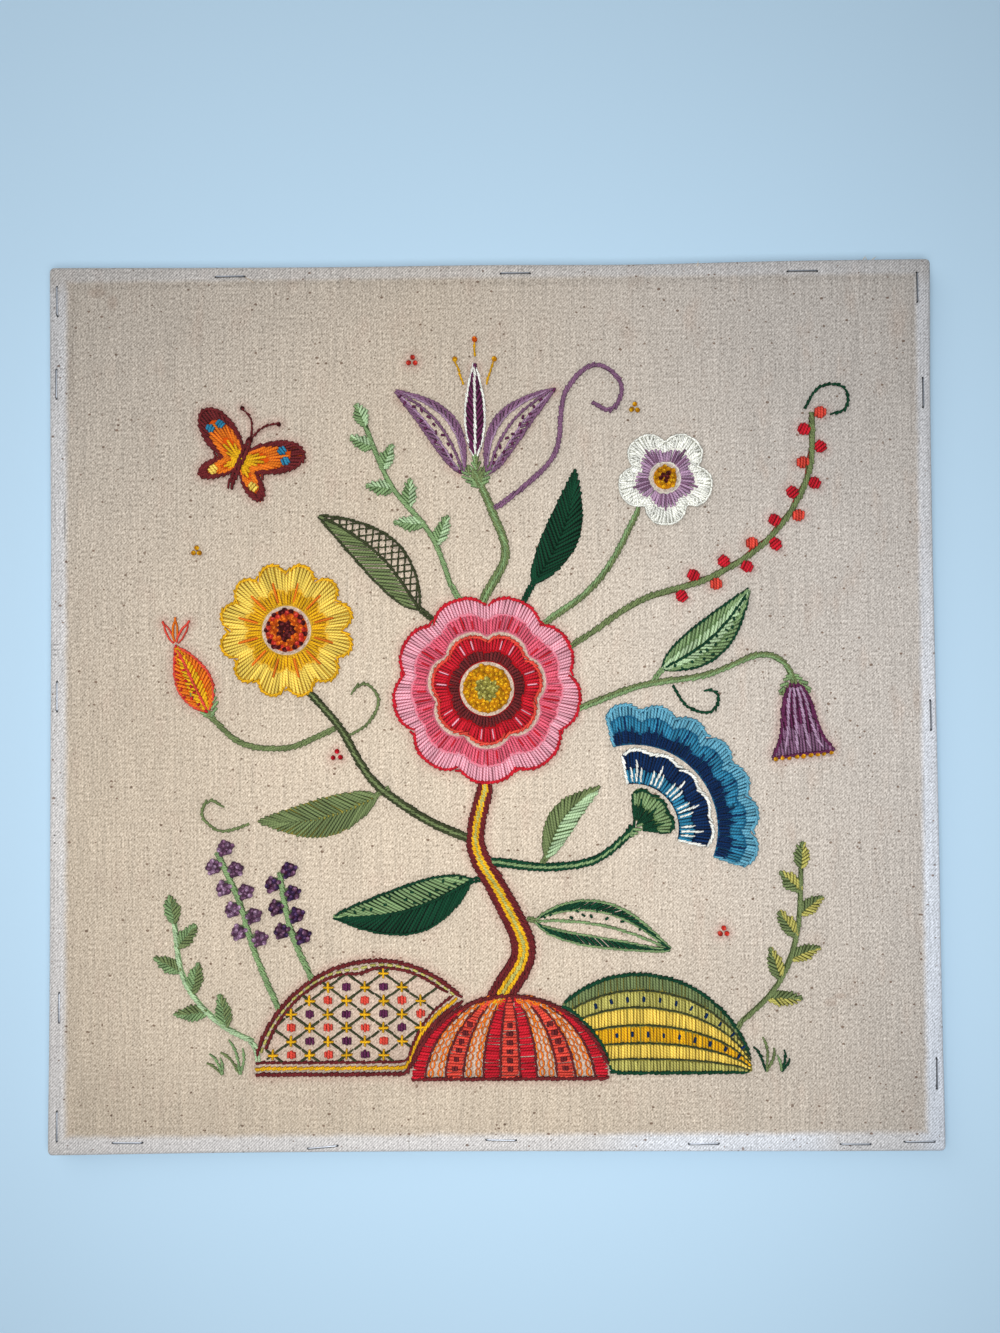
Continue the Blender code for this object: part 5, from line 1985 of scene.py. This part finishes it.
def sew_butterfly(work):
    """Open wings in three zones, with spots, a body and feelers."""

    def from_middle(reach, angle):
        return polar(BUTTERFLY_CENTRE, reach, BUTTERFLY_FACING + angle)

    def outer(share):
        return wing_radius(360 * share) - WING_INSET

    angles = (BUTTERFLY_FACING, BUTTERFLY_FACING + 360)
    work.rays(BUTTERFLY_CENTRE, lambda share: WING_ROOT, outer, angles, WING_ZONES)
    rim = [from_middle(outer(step / WING_STEPS), 360 / WING_STEPS * step) for step in range(WING_STEPS + 1)]
    work.line(rim, "burgundy", 0.95, level=0.2)
    for angle, reach, radius, colour in WING_SPOTS:
        work.dot(from_middle(reach, angle), radius, colour, angle, level=0.6)
    head, tail = (from_middle(reach, 0) for reach in BODY_ENDS)
    for offset in BODY_ROWS:
        shift = polar((0, 0), offset, BUTTERFLY_FACING + 90)
        work.line([head + shift, tail + shift], "burgundy", 1.0, level=0.6)
    work.knot(head, "burgundy", HEAD_KNOT, level=0.4)
    for lean in (-1, 1):
        feeler = [head] + [polar(head, reach, BUTTERFLY_FACING + angle * lean) for reach, angle in FEELER]
        work.line(curve(feeler)[::8], "burgundy", 0.6)
        work.knot(feeler[-1], "burgundy", FEELER_KNOT)


def sew_sprig(work):
    """A stem with leaflets, each worked like ribs on a spine."""
    stem, near, far = SPRIG_WORK[work.node]
    route, leaflets, length, width, splay, first = SPRIGS[work.node]
    for number, (spot, left) in enumerate(walk(curve(route), leaflets - 1, first)):
        side = 1 if number % 2 else -1
        forward = Vector((left.y, -left.x))
        lean = 0.0 if number == leaflets - 1 else math.radians(splay)
        way = forward * math.cos(lean) + left * side * math.sin(lean)
        tip = spot + way * length * (1 - LEAFLET_SHRINK * number)
        lefts, rights = leaf_sides(spot, tip, width - LEAFLET_INSET, steps=LEAFLET_STEPS)
        work.fishbone(lefts, rights, (near, far), LEAFLET_PITCH, LEAFLET_LEAN, 0.9)
    stem_rows(work, route, SPRIG_STEM, (stem, stem), 0.85, level=0.15)
    work.spine = (curve(route)[::3], stem)


def sew_spray(work):
    """A stem with round beads: single dots, or bunches of knots."""
    stem, colours, knots = SPRAY_WORK[work.node]
    route, beads, radius, offset, first = SPRAYS[work.node]
    stem_rows(work, route, SPRAY_STEM, (stem, stem))
    work.spine = (curve(route)[::3], stem)
    for number, (spot, left) in enumerate(walk(curve(route), beads - 1, first)):
        centre = spot + left * (1 if number % 2 else -1) * offset
        if knots:
            near, far = colours[number % 2], colours[(number + 1) % 2]
            work.knots_round(centre, radius - BUNCH_INSET, knots, (near, far, near))
        else:
            work.dot(centre, radius - BEAD_INSET, colours[number % len(colours)], BEAD_TURNS[number % 3])


def sew_small_things(work):
    """Stitches straight on the cloth: grass, stamens, loose knots, curls, stalks, calyxes and loops."""
    for x, y, reach, lean in GRASS:
        foot = Vector((x, y))
        for turn, share in BLADES:
            angle = lean + turn
            colour = ("sage", "forest", "leaf")[int(angle) % 3]
            middle = polar(foot, reach * share * BLADE_MIDDLE, angle)
            blade = [foot, middle, polar(foot, reach * share, angle + BLADE_BEND)]
            work.line(curve(blade)[::8], colour, 0.75, reach=1.8)
    for base, angle, reach, colour in STAMENS:
        tip = polar(base, reach, angle)
        work.line([Vector(base), tip], "gold", 0.6, reach=1.8)
        work.knot(tip, colour, STAMEN_KNOT)
    for x, y, colour in LONE_KNOTS:
        for step in range(3):
            work.knot(polar((x, y), KNOT_GROUP_REACH, 90 + 120 * step), colour)
    for route, colour in CURLS:
        work.line(curve(route)[::6], colour, 0.8, reach=2.0)
    for route, colour in STALKS:
        for shift in STALK_ROWS:
            points = [spot + left * shift for spot, left in walk(curve(route), STALK_STEPS)]
            work.line(points, colour, 0.85, reach=1.7)
    for base, tip, width, near, far in CALYXES:
        work.fishbone(*leaf_sides(base, tip, width, steps=LEAFLET_STEPS), (near, far), lean=CALYX_LEAN)
    for base, tip, colour in DAISY_LOOPS:
        work.loop(base, tip, colour)


# How each motif is sewn, in order; the last is on the bare cloth
SEWN_BY = {
    "mound_front": sew_front_mound,
    "mound_left": sew_left_mound,
    "mound_right": sew_right_mound,
    **dict.fromkeys(STEMS, sew_stem),
    **dict.fromkeys(LEAVES, sew_leaf),
    "rose_petals": sew_petals,
    "rose_inner_petals": sew_petals,
    "rose_heart": sew_heart,
    "daisy_petals": sew_petals,
    "daisy_heart": sew_heart,
    "blossom_petals": sew_petals,
    "blossom_heart": sew_heart,
    **dict.fromkeys(FANS, sew_petals),
    "bell": sew_bell,
    "butterfly": sew_butterfly,
    **dict.fromkeys(SPRIGS, sew_sprig),
    **dict.fromkeys(SPRAYS, sew_spray),
    "small": sew_small_things,
}


def side_spots(inset, bows, ragged=0.0):
    """Spots along the side that faces +X, from the middle of one corner to the middle of the next."""
    radius = max(CORNER_RADIUS - inset, INNER_CORNER_RADIUS)
    corner = HALF - inset - radius
    spots = []
    for step in range(CLOTH_STEPS):
        if step < CORNER_STEPS:
            angle = math.radians(45 * (step / CORNER_STEPS - 1))
            spots.append((corner + radius * math.cos(angle), -corner + radius * math.sin(angle)))
        elif step > CLOTH_STEPS - CORNER_STEPS:
            angle = math.radians(45 * (1 - (CLOTH_STEPS - step) / CORNER_STEPS))
            spots.append((corner + radius * math.cos(angle), corner + radius * math.sin(angle)))
        else:
            share = (step - CORNER_STEPS) / (CLOTH_STEPS - 2 * CORNER_STEPS)
            tatter = ragged * noise.noise(Vector((share * TATTERS, inset, 3.0)))
            spots.append((HALF - inset - smooth_at(bows, share) - tatter, corner * (2 * share - 1)))
    return spots


def panel_loop(inset, ragged=0.0):
    """One closed loop round the panel at a distance in from its edge."""
    loop = []
    for quarter, bows in enumerate(EDGE_BOWS):
        turn = Matrix.Rotation(math.radians(90 * quarter), 2)
        loop += [turn @ Vector(spot) for spot in side_spots(inset, bows, ragged)]
    return loop


def fold_profile(height, radius, start, steps):
    """Insets and heights round a quarter fold of the cloth, from an angle of start down by 90 degrees."""
    profile = []
    for step in range(steps + 1):
        angle = math.radians(start - 90 * step / steps)
        profile.append((FOLD_RADIUS - radius * math.cos(angle), height + radius * math.sin(angle)))
    return profile


def cloth_profile():
    """Rings of the cloth from the margin round to the inside: inset, height and flat distance out."""
    rows = [(inset, FRONT) for inset in reversed(MARGIN_INSETS)]
    rows += fold_profile(FRONT - FOLD_RADIUS, FOLD_RADIUS, 90, FOLD_STEPS)[1:]
    rows += [(0.0, FRONT * share) for share in FLANK_SHARES]
    rows += fold_profile(FOLD_RADIUS, FOLD_RADIUS, 0, FOLD_STEPS)
    rows += [(inset, 0.0) for inset in BACK_INSETS]
    rows += [(TURN_IN, EDGE_EASE), (TURN_IN, CLOTH_THICKNESS - EDGE_EASE)]
    rows += [(inset, CLOTH_THICKNESS) for inset in reversed(BACK_INSETS)]
    inner = FOLD_RADIUS - CLOTH_THICKNESS
    rows += fold_profile(FOLD_RADIUS, inner, 0, 2)[::-1]
    rows += fold_profile(FRONT - FOLD_RADIUS, inner, 90, 2)[::-1]
    turned = rows.index((TURN_IN, EDGE_EASE))
    flats = [HALF - rows[0][0]]
    for place, (near, far) in enumerate(zip(rows, rows[1:])):
        step = math.dist(near, far)
        flats.append(flats[-1] + (step if place < turned else -step))
    return [(inset, height, flat) for (inset, height), flat in zip(rows, flats)]


def leg_spots():
    """Where the staples' legs go through the cloth."""
    spots = []
    for x, y, angle in STAPLES:
        for end in (-1, 1):
            spots.append(polar((x, y), end * CROWN_LENGTH / 2, angle))
    return spots


def tree_of(spots):
    """A search tree of spots on the cloth."""
    tree = KDTree(max(len(spots), 1))
    for number, spot in enumerate(spots):
        tree.insert((spot[0], spot[1], 0.0), number)
    tree.balance()
    return tree


def cloth_height(x, y, twill, legs):
    """Height of the front at a place: slack waves, and dimples where staples pull it in."""
    edge = min(HALF - abs(x), HALF - abs(y))
    wave = sum(share * noise.noise(Vector((x / size, y / size, layer))) for size, layer, share in WAVES)
    height = wave * twill.pucker / MM * min(max(edge - STILL_RIM, 0.0) / RIM_FADE, 1.0)
    distance = legs.find((x, y, 0.0))[2]
    return FRONT - FRONT_SINK + height - twill.dimple / MM * math.exp(-((distance / DIMPLE_REACH) ** 2))


def weave_cloth(twill):
    """The stretched twill: front, sides and turned-in margins as one closed sheet."""
    legs = tree_of(leg_spots())
    builder = bmesh.new()
    cut = builder.loops.layers.uv.new("cut")

    def flat_uv(face, spots):
        for corner, spot in zip(face.loops, spots):
            corner[cut].uv = (spot[0] / FLAT_SIDE + 0.5, spot[1] / FLAT_SIDE + 0.5)

    def front_vert(x, y):
        return builder.verts.new((x * MM, y * MM, cloth_height(x, y, twill, legs) * MM))

    steps = CLOTH_STEPS
    rim = panel_loop(GRID_INSET)
    right, top, left, bottom = (rim[steps * side:steps * (side + 1)] for side in range(4))
    right = right + [top[0]]
    top = (top + [left[0]])[::-1]
    left = (left + [bottom[0]])[::-1]
    bottom = bottom + [rim[0]]
    shares = [(spot.x - bottom[0].x) / (bottom[-1].x - bottom[0].x) for spot in bottom]
    grid = []
    for row, v in enumerate(shares):
        line = []
        for column, u in enumerate(shares):
            spot = bottom[column] * (1 - v) + top[column] * v + left[row] * (1 - u) + right[row] * u
            spot -= (bottom[0] * (1 - u) + bottom[-1] * u) * (1 - v) + (top[0] * (1 - u) + top[-1] * u) * v
            line.append(front_vert(spot.x, spot.y))
        grid.append(line)
    for near, far in zip(grid, grid[1:]):
        for column in range(steps):
            corners = (near[column], near[column + 1], far[column + 1], far[column])
            flat_uv(builder.faces.new(corners), [corner.co / MM for corner in corners])

    edge = [grid[row][steps] for row in range(steps)]
    edge += [grid[steps][steps - column] for column in range(steps)]
    edge += [grid[steps - row][0] for row in range(steps)]
    edge += [grid[0][column] for column in range(steps)]
    turns = [Matrix.Rotation(math.radians(90 * side), 2) for side in range(4)]
    near = edge
    near_flat = HALF - GRID_INSET
    for inset, height, flat in cloth_profile():
        ragged = TATTER if inset == TURN_IN else 0.0
        far = []
        for spot in panel_loop(inset, ragged):
            if height == FRONT:
                far.append(front_vert(spot.x, spot.y))
            else:
                far.append(builder.verts.new((spot.x * MM, spot.y * MM, height * MM)))
        for place in range(4 * steps):
            after = (place + 1) % (4 * steps)
            turn = turns[place // steps]
            corners = (near[place], far[place], far[after], near[after])
            spots = []
            for corner, reach in zip(corners, (near_flat, flat, flat, near_flat)):
                along = (turn.inverted() @ corner.co.xy / MM).y
                spots.append(turn @ Vector((reach, along)))
            flat_uv(builder.faces.new(corners), spots)
        near, near_flat = far, flat
    cap = builder.faces.new(near)
    flat_uv(cap, [corner.co / MM for corner in near])
    for face in builder.faces:
        face.smooth = True
    builder.normal_update()
    mesh = bpy.data.meshes.new("twill_cloth")
    builder.to_mesh(mesh)
    builder.free()
    return slit_mitres(link_object("twill_cloth", mesh))


def slit_mitres(cloth):
    """Cuts the turned-in margins apart along the four corners of the back."""
    first = FOLD_RADIUS + CLOTH_THICKNESS
    last = TURN_IN + CLOTH_THICKNESS
    verts = []
    faces = []
    for quarter in range(4):
        angle = 45 + 90 * quarter
        flank = polar((0, 0), MITRE_SLIT / 2, angle + 90)
        ends = [polar((0, 0), (HALF - inset) * math.sqrt(2), angle) for inset in (last, first)]
        base = len(verts)
        for height in (-CLOTH_THICKNESS, CLOTH_THICKNESS + MITRE_SPARE):
            for spot in (ends[0] - flank, ends[1] - flank, ends[1] + flank, ends[0] + flank):
                verts.append((spot.x, spot.y, height))
        for face in ((3, 2, 1, 0), (4, 5, 6, 7), (0, 1, 5, 4), (1, 2, 6, 5), (2, 3, 7, 6), (3, 0, 4, 7)):
            faces.append([base + corner for corner in face])
    cutter = add_mesh_object("mitre_cutter", verts, faces, smooth=False)
    modifier = cloth.modifiers.new("Slit", "BOOLEAN")
    modifier.object = cutter
    modifier.operation = "DIFFERENCE"
    modifier.solver = "EXACT"
    piece = keep_as_mesh(cloth, "twill_cloth")
    bpy.data.objects.remove(cutter)
    return piece


def mark_work(cloth):
    """Writes how near each place of the front is to a stitch, for painted shade round the stitches, and to
    wool whose dye has run.
    """
    for name, spots, reach in (("worked", needle_spots, STITCH_SHADE_REACH), ("halo", dyed_spots, HALO_REACH)):
        tree = tree_of(spots)
        shares = []
        for vert in cloth.data.vertices:
            x, y, z = vert.co / MM
            front = z > FRONT - CLOTH_THICKNESS + FRONT_SPARE and max(abs(x), abs(y)) < HALF - UNMARKED_RIM
            distance = tree.find((x, y, 0.0))[2] if front and spots else FAR_OFF
            shares.append(math.exp(-((distance / reach) ** 2)))
        write_attribute(cloth.data, name, "FLOAT", shares)


def copies_tree():
    """A copy of one shape on each point, turned and sized by the point, with a little play."""
    inputs = (("Copy", "Object"), ("Play", "Float"), ("Seed", "Int"), ("Finish", "Material"))
    nodes, given = new_tree("Place copies", inputs)
    shape = nodes.shape(given.other("Copy"))
    play = given.other("Play")
    shift = [nodes.uneven(play * -1, play, given.other("Seed") + axis) for axis in range(3)]
    sockets = {0: nodes.named("turn"), 1: nodes.point(*shift)}
    loose = nodes.add("ShaderNodeVectorMath", {"operation": "ADD"}, sockets)
    rotation = nodes.add("FunctionNodeEulerToRotation", {}, {0: loose})
    sockets = {"Points": given, "Instance": shape, "Rotation": rotation, "Scale": nodes.named("span")}
    return finished(nodes, given, nodes.add("GeometryNodeInstanceOnPoints", {}, sockets))


def place_copies(name, shape, rows, play, finish):
    """One plain mesh of a shape put at each row of place, turn and span."""
    places, turns, spans = zip(*rows)
    attributes = (("turn", "FLOAT_VECTOR", turns), ("span", "FLOAT_VECTOR", spans))
    values = {"Copy": shape, "Play": play, "Seed": len(rows), "Finish": finish}
    piece = grow(name, places, attributes, bpy.data.node_groups.get("Place copies") or copies_tree(), values)
    bpy.data.objects.remove(shape)
    return piece


def thread_finish(nodes, twill):
    """A loose thread of the twill."""
    x, y, z = nodes.place()
    fuzz = nodes.noise(x * 2, y * 2, z * 2, detail=2.0)
    return {"Base Color": nodes.shade(linear(twill.cloth), 0.7 + fuzz * 0.5), "Roughness": 0.95}


def fray_edges(twill):
    """Thread ends along the raw edges of the turned-in margins."""
    chance = random.Random(FRAY_SEED)
    rings = []
    for place, width in ((0.0, 1.0), (0.6, 0.9)):
        rings.append(lambda turn, p=place, w=width: (p, math.cos(turn) * w / 2, math.sin(turn) * w / 2))
    verts, faces, _places = tube(rings, (-0.1, 0, 0), (1.0, 0, 0), 4)
    shape = add_mesh_object("thread_end", [Vector(vert) / MM for vert in verts], faces)
    rows = []
    for quarter, bows in enumerate(EDGE_BOWS):
        reach = HALF - TURN_IN - FRAY_CLEAR
        for step in range(int(2 * reach / FRAY_PITCH)):
            along = -reach + FRAY_PITCH * (step + chance.uniform(0.1, 0.9))
            share = (along / (HALF - TURN_IN) + 1) / 2
            out = HALF - TURN_IN - smooth_at(bows, share) + FRAY_OUT
            turn = Matrix.Rotation(math.radians(90 * quarter), 2)
            spot = turn @ Vector((out, along))
            heading = math.radians(90 * quarter + 180 + chance.gauss(0, FRAY_LEAN))
            length = chance.choice(FRAY_LENGTHS) * chance.uniform(0.8, 1.2)
            height = chance.uniform(*FRAY_HEIGHTS)
            rows.append(((spot.x, spot.y, height), (0.0, 0.0, heading), thread_span(length)))
    for x, y, height, rise, heading, length in LOOSE_THREADS:
        turn = (0.0, math.radians(-rise), math.radians(heading))
        rows.append(((x, y, height), turn, thread_span(length)))
    finish = make_finish("loose_thread", thread_finish, twill)
    return place_copies("frayed_threads", shape, rows, THREAD_PLAY, finish)


def thread_span(length):
    """Length, width and thickness of a thread end in metres."""
    return length * MM, THREAD_WIDTH * MM, THREAD_THICKNESS * MM


def drive_staples(staple):
    """The bent wires of all staples as one piece."""
    wide = staple.wire_width / MM
    thick = staple.wire_thickness / MM
    leg = (CROWN_LENGTH - thick) / 2
    path = [(leg, -LEG_LENGTH), (leg, -STAPLE_BEND - STAPLE_EASE), (leg, -STAPLE_BEND)]
    for angle in (30, 60, 90):
        turn = math.radians(angle)
        path.append((leg - STAPLE_BEND * (1 - math.cos(turn)), STAPLE_BEND * (math.sin(turn) - 1)))
    path = [(-x, z) for x, z in path] + path[::-1]
    rings = []
    for number, (x, z) in enumerate(path):
        before, after = path[max(number - 1, 0)], path[min(number + 1, len(path) - 1)]
        run = Vector((after[0] - before[0], after[1] - before[1])).normalized()

        def ring(turn, x=x, z=z, run=run):
            side = rounded(math.cos(turn)) * wide / 2
            out = rounded(math.sin(turn)) * thick / 2
            return (x - run.y * out, -side, z + run.x * out)

        rings.append(ring)
    tips = [(x, 0, -LEG_LENGTH - STAPLE_TIP) for x in (-leg, leg)]
    verts, faces, _places = tube(rings, *tips, STAPLE_SIDES)
    shape = add_mesh_object("staple", verts, faces)
    wire = shape.data.uv_layers.new(name="wire")
    for corner, loop in zip(wire.data, shape.data.loops):
        x, y, _z = verts[loop.vertex_index]
        corner.uv = (x / leg, 2 * y / wide)
    height = FRONT + thick / 2
    rows = [((x, y, height), (0.0, 0.0, math.radians(angle)), (1.0, 1.0, 1.0)) for x, y, angle in STAPLES]
    finish = make_finish("staple_steel", steel_finish, staple)
    return place_copies("staple_wires", shape, rows, STAPLE_PLAY, finish)


def rounded(share):
    """A sine or cosine drawn out towards the corners of a flat wire's section."""
    return math.copysign(abs(share) ** 0.5, share)


def camera_at_photo_angle():
    """The camera that sees the panel as the photo does."""
    turn = Euler([math.radians(angle) for angle in CAMERA_TURN], "XYZ").to_matrix()
    shift_x, shift_y, distance = CAMERA_SHIFT
    spot = turn.transposed() @ Vector((-shift_x, -shift_y, distance)) + Vector((0, 0, FRONT))
    camera = link_object("camera", bpy.data.cameras.new("camera"))
    camera.data.lens = CAMERA_LENS
    camera.matrix_world = Matrix.Translation(spot * MM) @ turn.transposed().to_4x4()
    bpy.context.scene.camera = camera


def light_stage(stage):
    """The large soft light, a weak one overhead and the light from all round."""
    for name, place, size, share in LAMPS:
        lamp = link_object(name, bpy.data.lights.new(name, "AREA"))
        lamp.data.energy = stage.daylight * share
        lamp.data.size = size
        spot = Vector(place)
        lamp.matrix_world = Matrix.Translation(spot) @ (-spot).to_track_quat("-Z", "Y").to_matrix().to_4x4()
    world = bpy.data.worlds.new("sky")
    world.use_nodes = True
    nodes = Nodes(world.node_tree)
    light = nodes.add("ShaderNodeBackground", {}, {"Color": (*SKY_COLOUR, 1.0), "Strength": stage.sky})
    nodes.add("ShaderNodeOutputWorld", {}, {"Surface": light})
    bpy.context.scene.world = world


class CREWEL_OT_sew_motifs(bpy.types.Operator):
    """Sew the mounds, stems, leaves, flowers, butterfly, sprigs and small things, each as a piece"""

    bl_idname = "crewel.sew_motifs"
    bl_label = "Sew motifs"

    def execute(self, context):
        for name, sew in SEWN_BY.items():
            work = Work(context.scene.crewel.wool, name)
            sew(work)
            work.sew()
        return {"FINISHED"}


class CREWEL_OT_stretch_cloth(bpy.types.Operator):
    """Stretch the twill over the board, once the wool is sewn, and fray its raw edges"""

    bl_idname = "crewel.stretch_cloth"
    bl_label = "Stretch cloth"

    def execute(self, context):
        twill = context.scene.crewel.twill
        cloth = weave_cloth(twill)
        mark_work(cloth)
        cloth.data.materials.clear()
        cloth.data.materials.append(make_finish("twill", twill_finish, twill))
        part_of(cloth, "twill", "cloth")
        threads = part_of(fray_edges(twill), "twill")
        return {"FINISHED"}


class CREWEL_OT_drive_staples(bpy.types.Operator):
    """Drive the staples through the margin"""

    bl_idname = "crewel.drive_staples"
    bl_label = "Drive staples"

    def execute(self, context):
        wires = drive_staples(context.scene.crewel.staple)
        part_of(wires, "staple_steel", *(f"staple_{number:02d}" for number in range(1, len(STAPLES) + 1)))
        return {"FINISHED"}


class CREWEL_OT_finish_board(bpy.types.Operator):
    """Give the board its look"""

    bl_idname = "crewel.finish_board"
    bl_label = "Finish board"

    def execute(self, context):
        board = frame["nodes"]["mount_board"]
        board.data.materials.clear()
        board.data.materials.append(make_finish("board", board_finish, context.scene.crewel.board))
        return {"FINISHED"}


class CREWEL_OT_set_stage(bpy.types.Operator):
    """Set the floor, the light and the camera"""

    bl_idname = "crewel.set_stage"
    bl_label = "Set stage"

    def execute(self, context):
        stage = context.scene.crewel.stage
        signs = ((-1, -1), (1, -1), (1, 1), (-1, 1))
        corners = [(x * FLOOR_SIZE / 2, y * FLOOR_SIZE / 2, -FLOOR_DROP) for x, y in signs]
        floor = add_mesh_object("floor", corners, [(0, 1, 2, 3)], smooth=False)
        floor.data.materials.append(make_finish("floor", floor_finish, stage))
        light_stage(stage)
        camera_at_photo_angle()
        context.scene.view_settings.view_transform = "Standard"
        return {"FINISHED"}


class CREWEL_PT_panel(bpy.types.Panel):
    """Sizes, colours and steps of the panel"""

    bl_idname = "CREWEL_PT_panel"
    bl_label = "Crewel"
    bl_space_type = "VIEW_3D"
    bl_region_type = "UI"
    bl_category = "Crewel"

    def draw(self, context):
        settings = context.scene.crewel
        for name in ("twill", "wool", "staple", "board", "stage"):
            group = getattr(settings, name)
            box = self.layout.box()
            box.label(text=name.capitalize())
            for field in group.__annotations__:
                box.prop(group, field)
        for operator in OPERATORS:
            self.layout.operator(operator.bl_idname)


# In the order in which the panel is made: the cloth comes after the wool that marks it
OPERATORS = (
    CREWEL_OT_sew_motifs,
    CREWEL_OT_stretch_cloth,
    CREWEL_OT_drive_staples,
    CREWEL_OT_finish_board,
    CREWEL_OT_set_stage,
)
CLASSES = (
    TwillSettings,
    WoolSettings,
    StapleSettings,
    BoardSettings,
    StageSettings,
    CrewelSettings,
    *OPERATORS,
    CREWEL_PT_panel,
)


def register():
    """Adds the settings, operators and panel to Blender."""
    for item in CLASSES:
        bpy.utils.register_class(item)
    bpy.types.Scene.crewel = bpy.props.PointerProperty(type=CrewelSettings)


def unregister():
    """Takes them away again."""
    del bpy.types.Scene.crewel
    for item in reversed(CLASSES):
        bpy.utils.unregister_class(item)


def main():
    """Makes the whole scene."""
    register()
    sewing["stitch"] = stitch_pattern()
    sewing["knot"] = knot_pattern()
    sewing["tree"] = sewing_tree()
    for operator in OPERATORS:
        group, name = operator.bl_idname.split(".")
        getattr(getattr(bpy.ops, group), name)()
    for pattern in ("stitch", "knot"):
        bpy.data.objects.remove(sewing.pop(pattern))


if __name__ == "__main__":
    main()
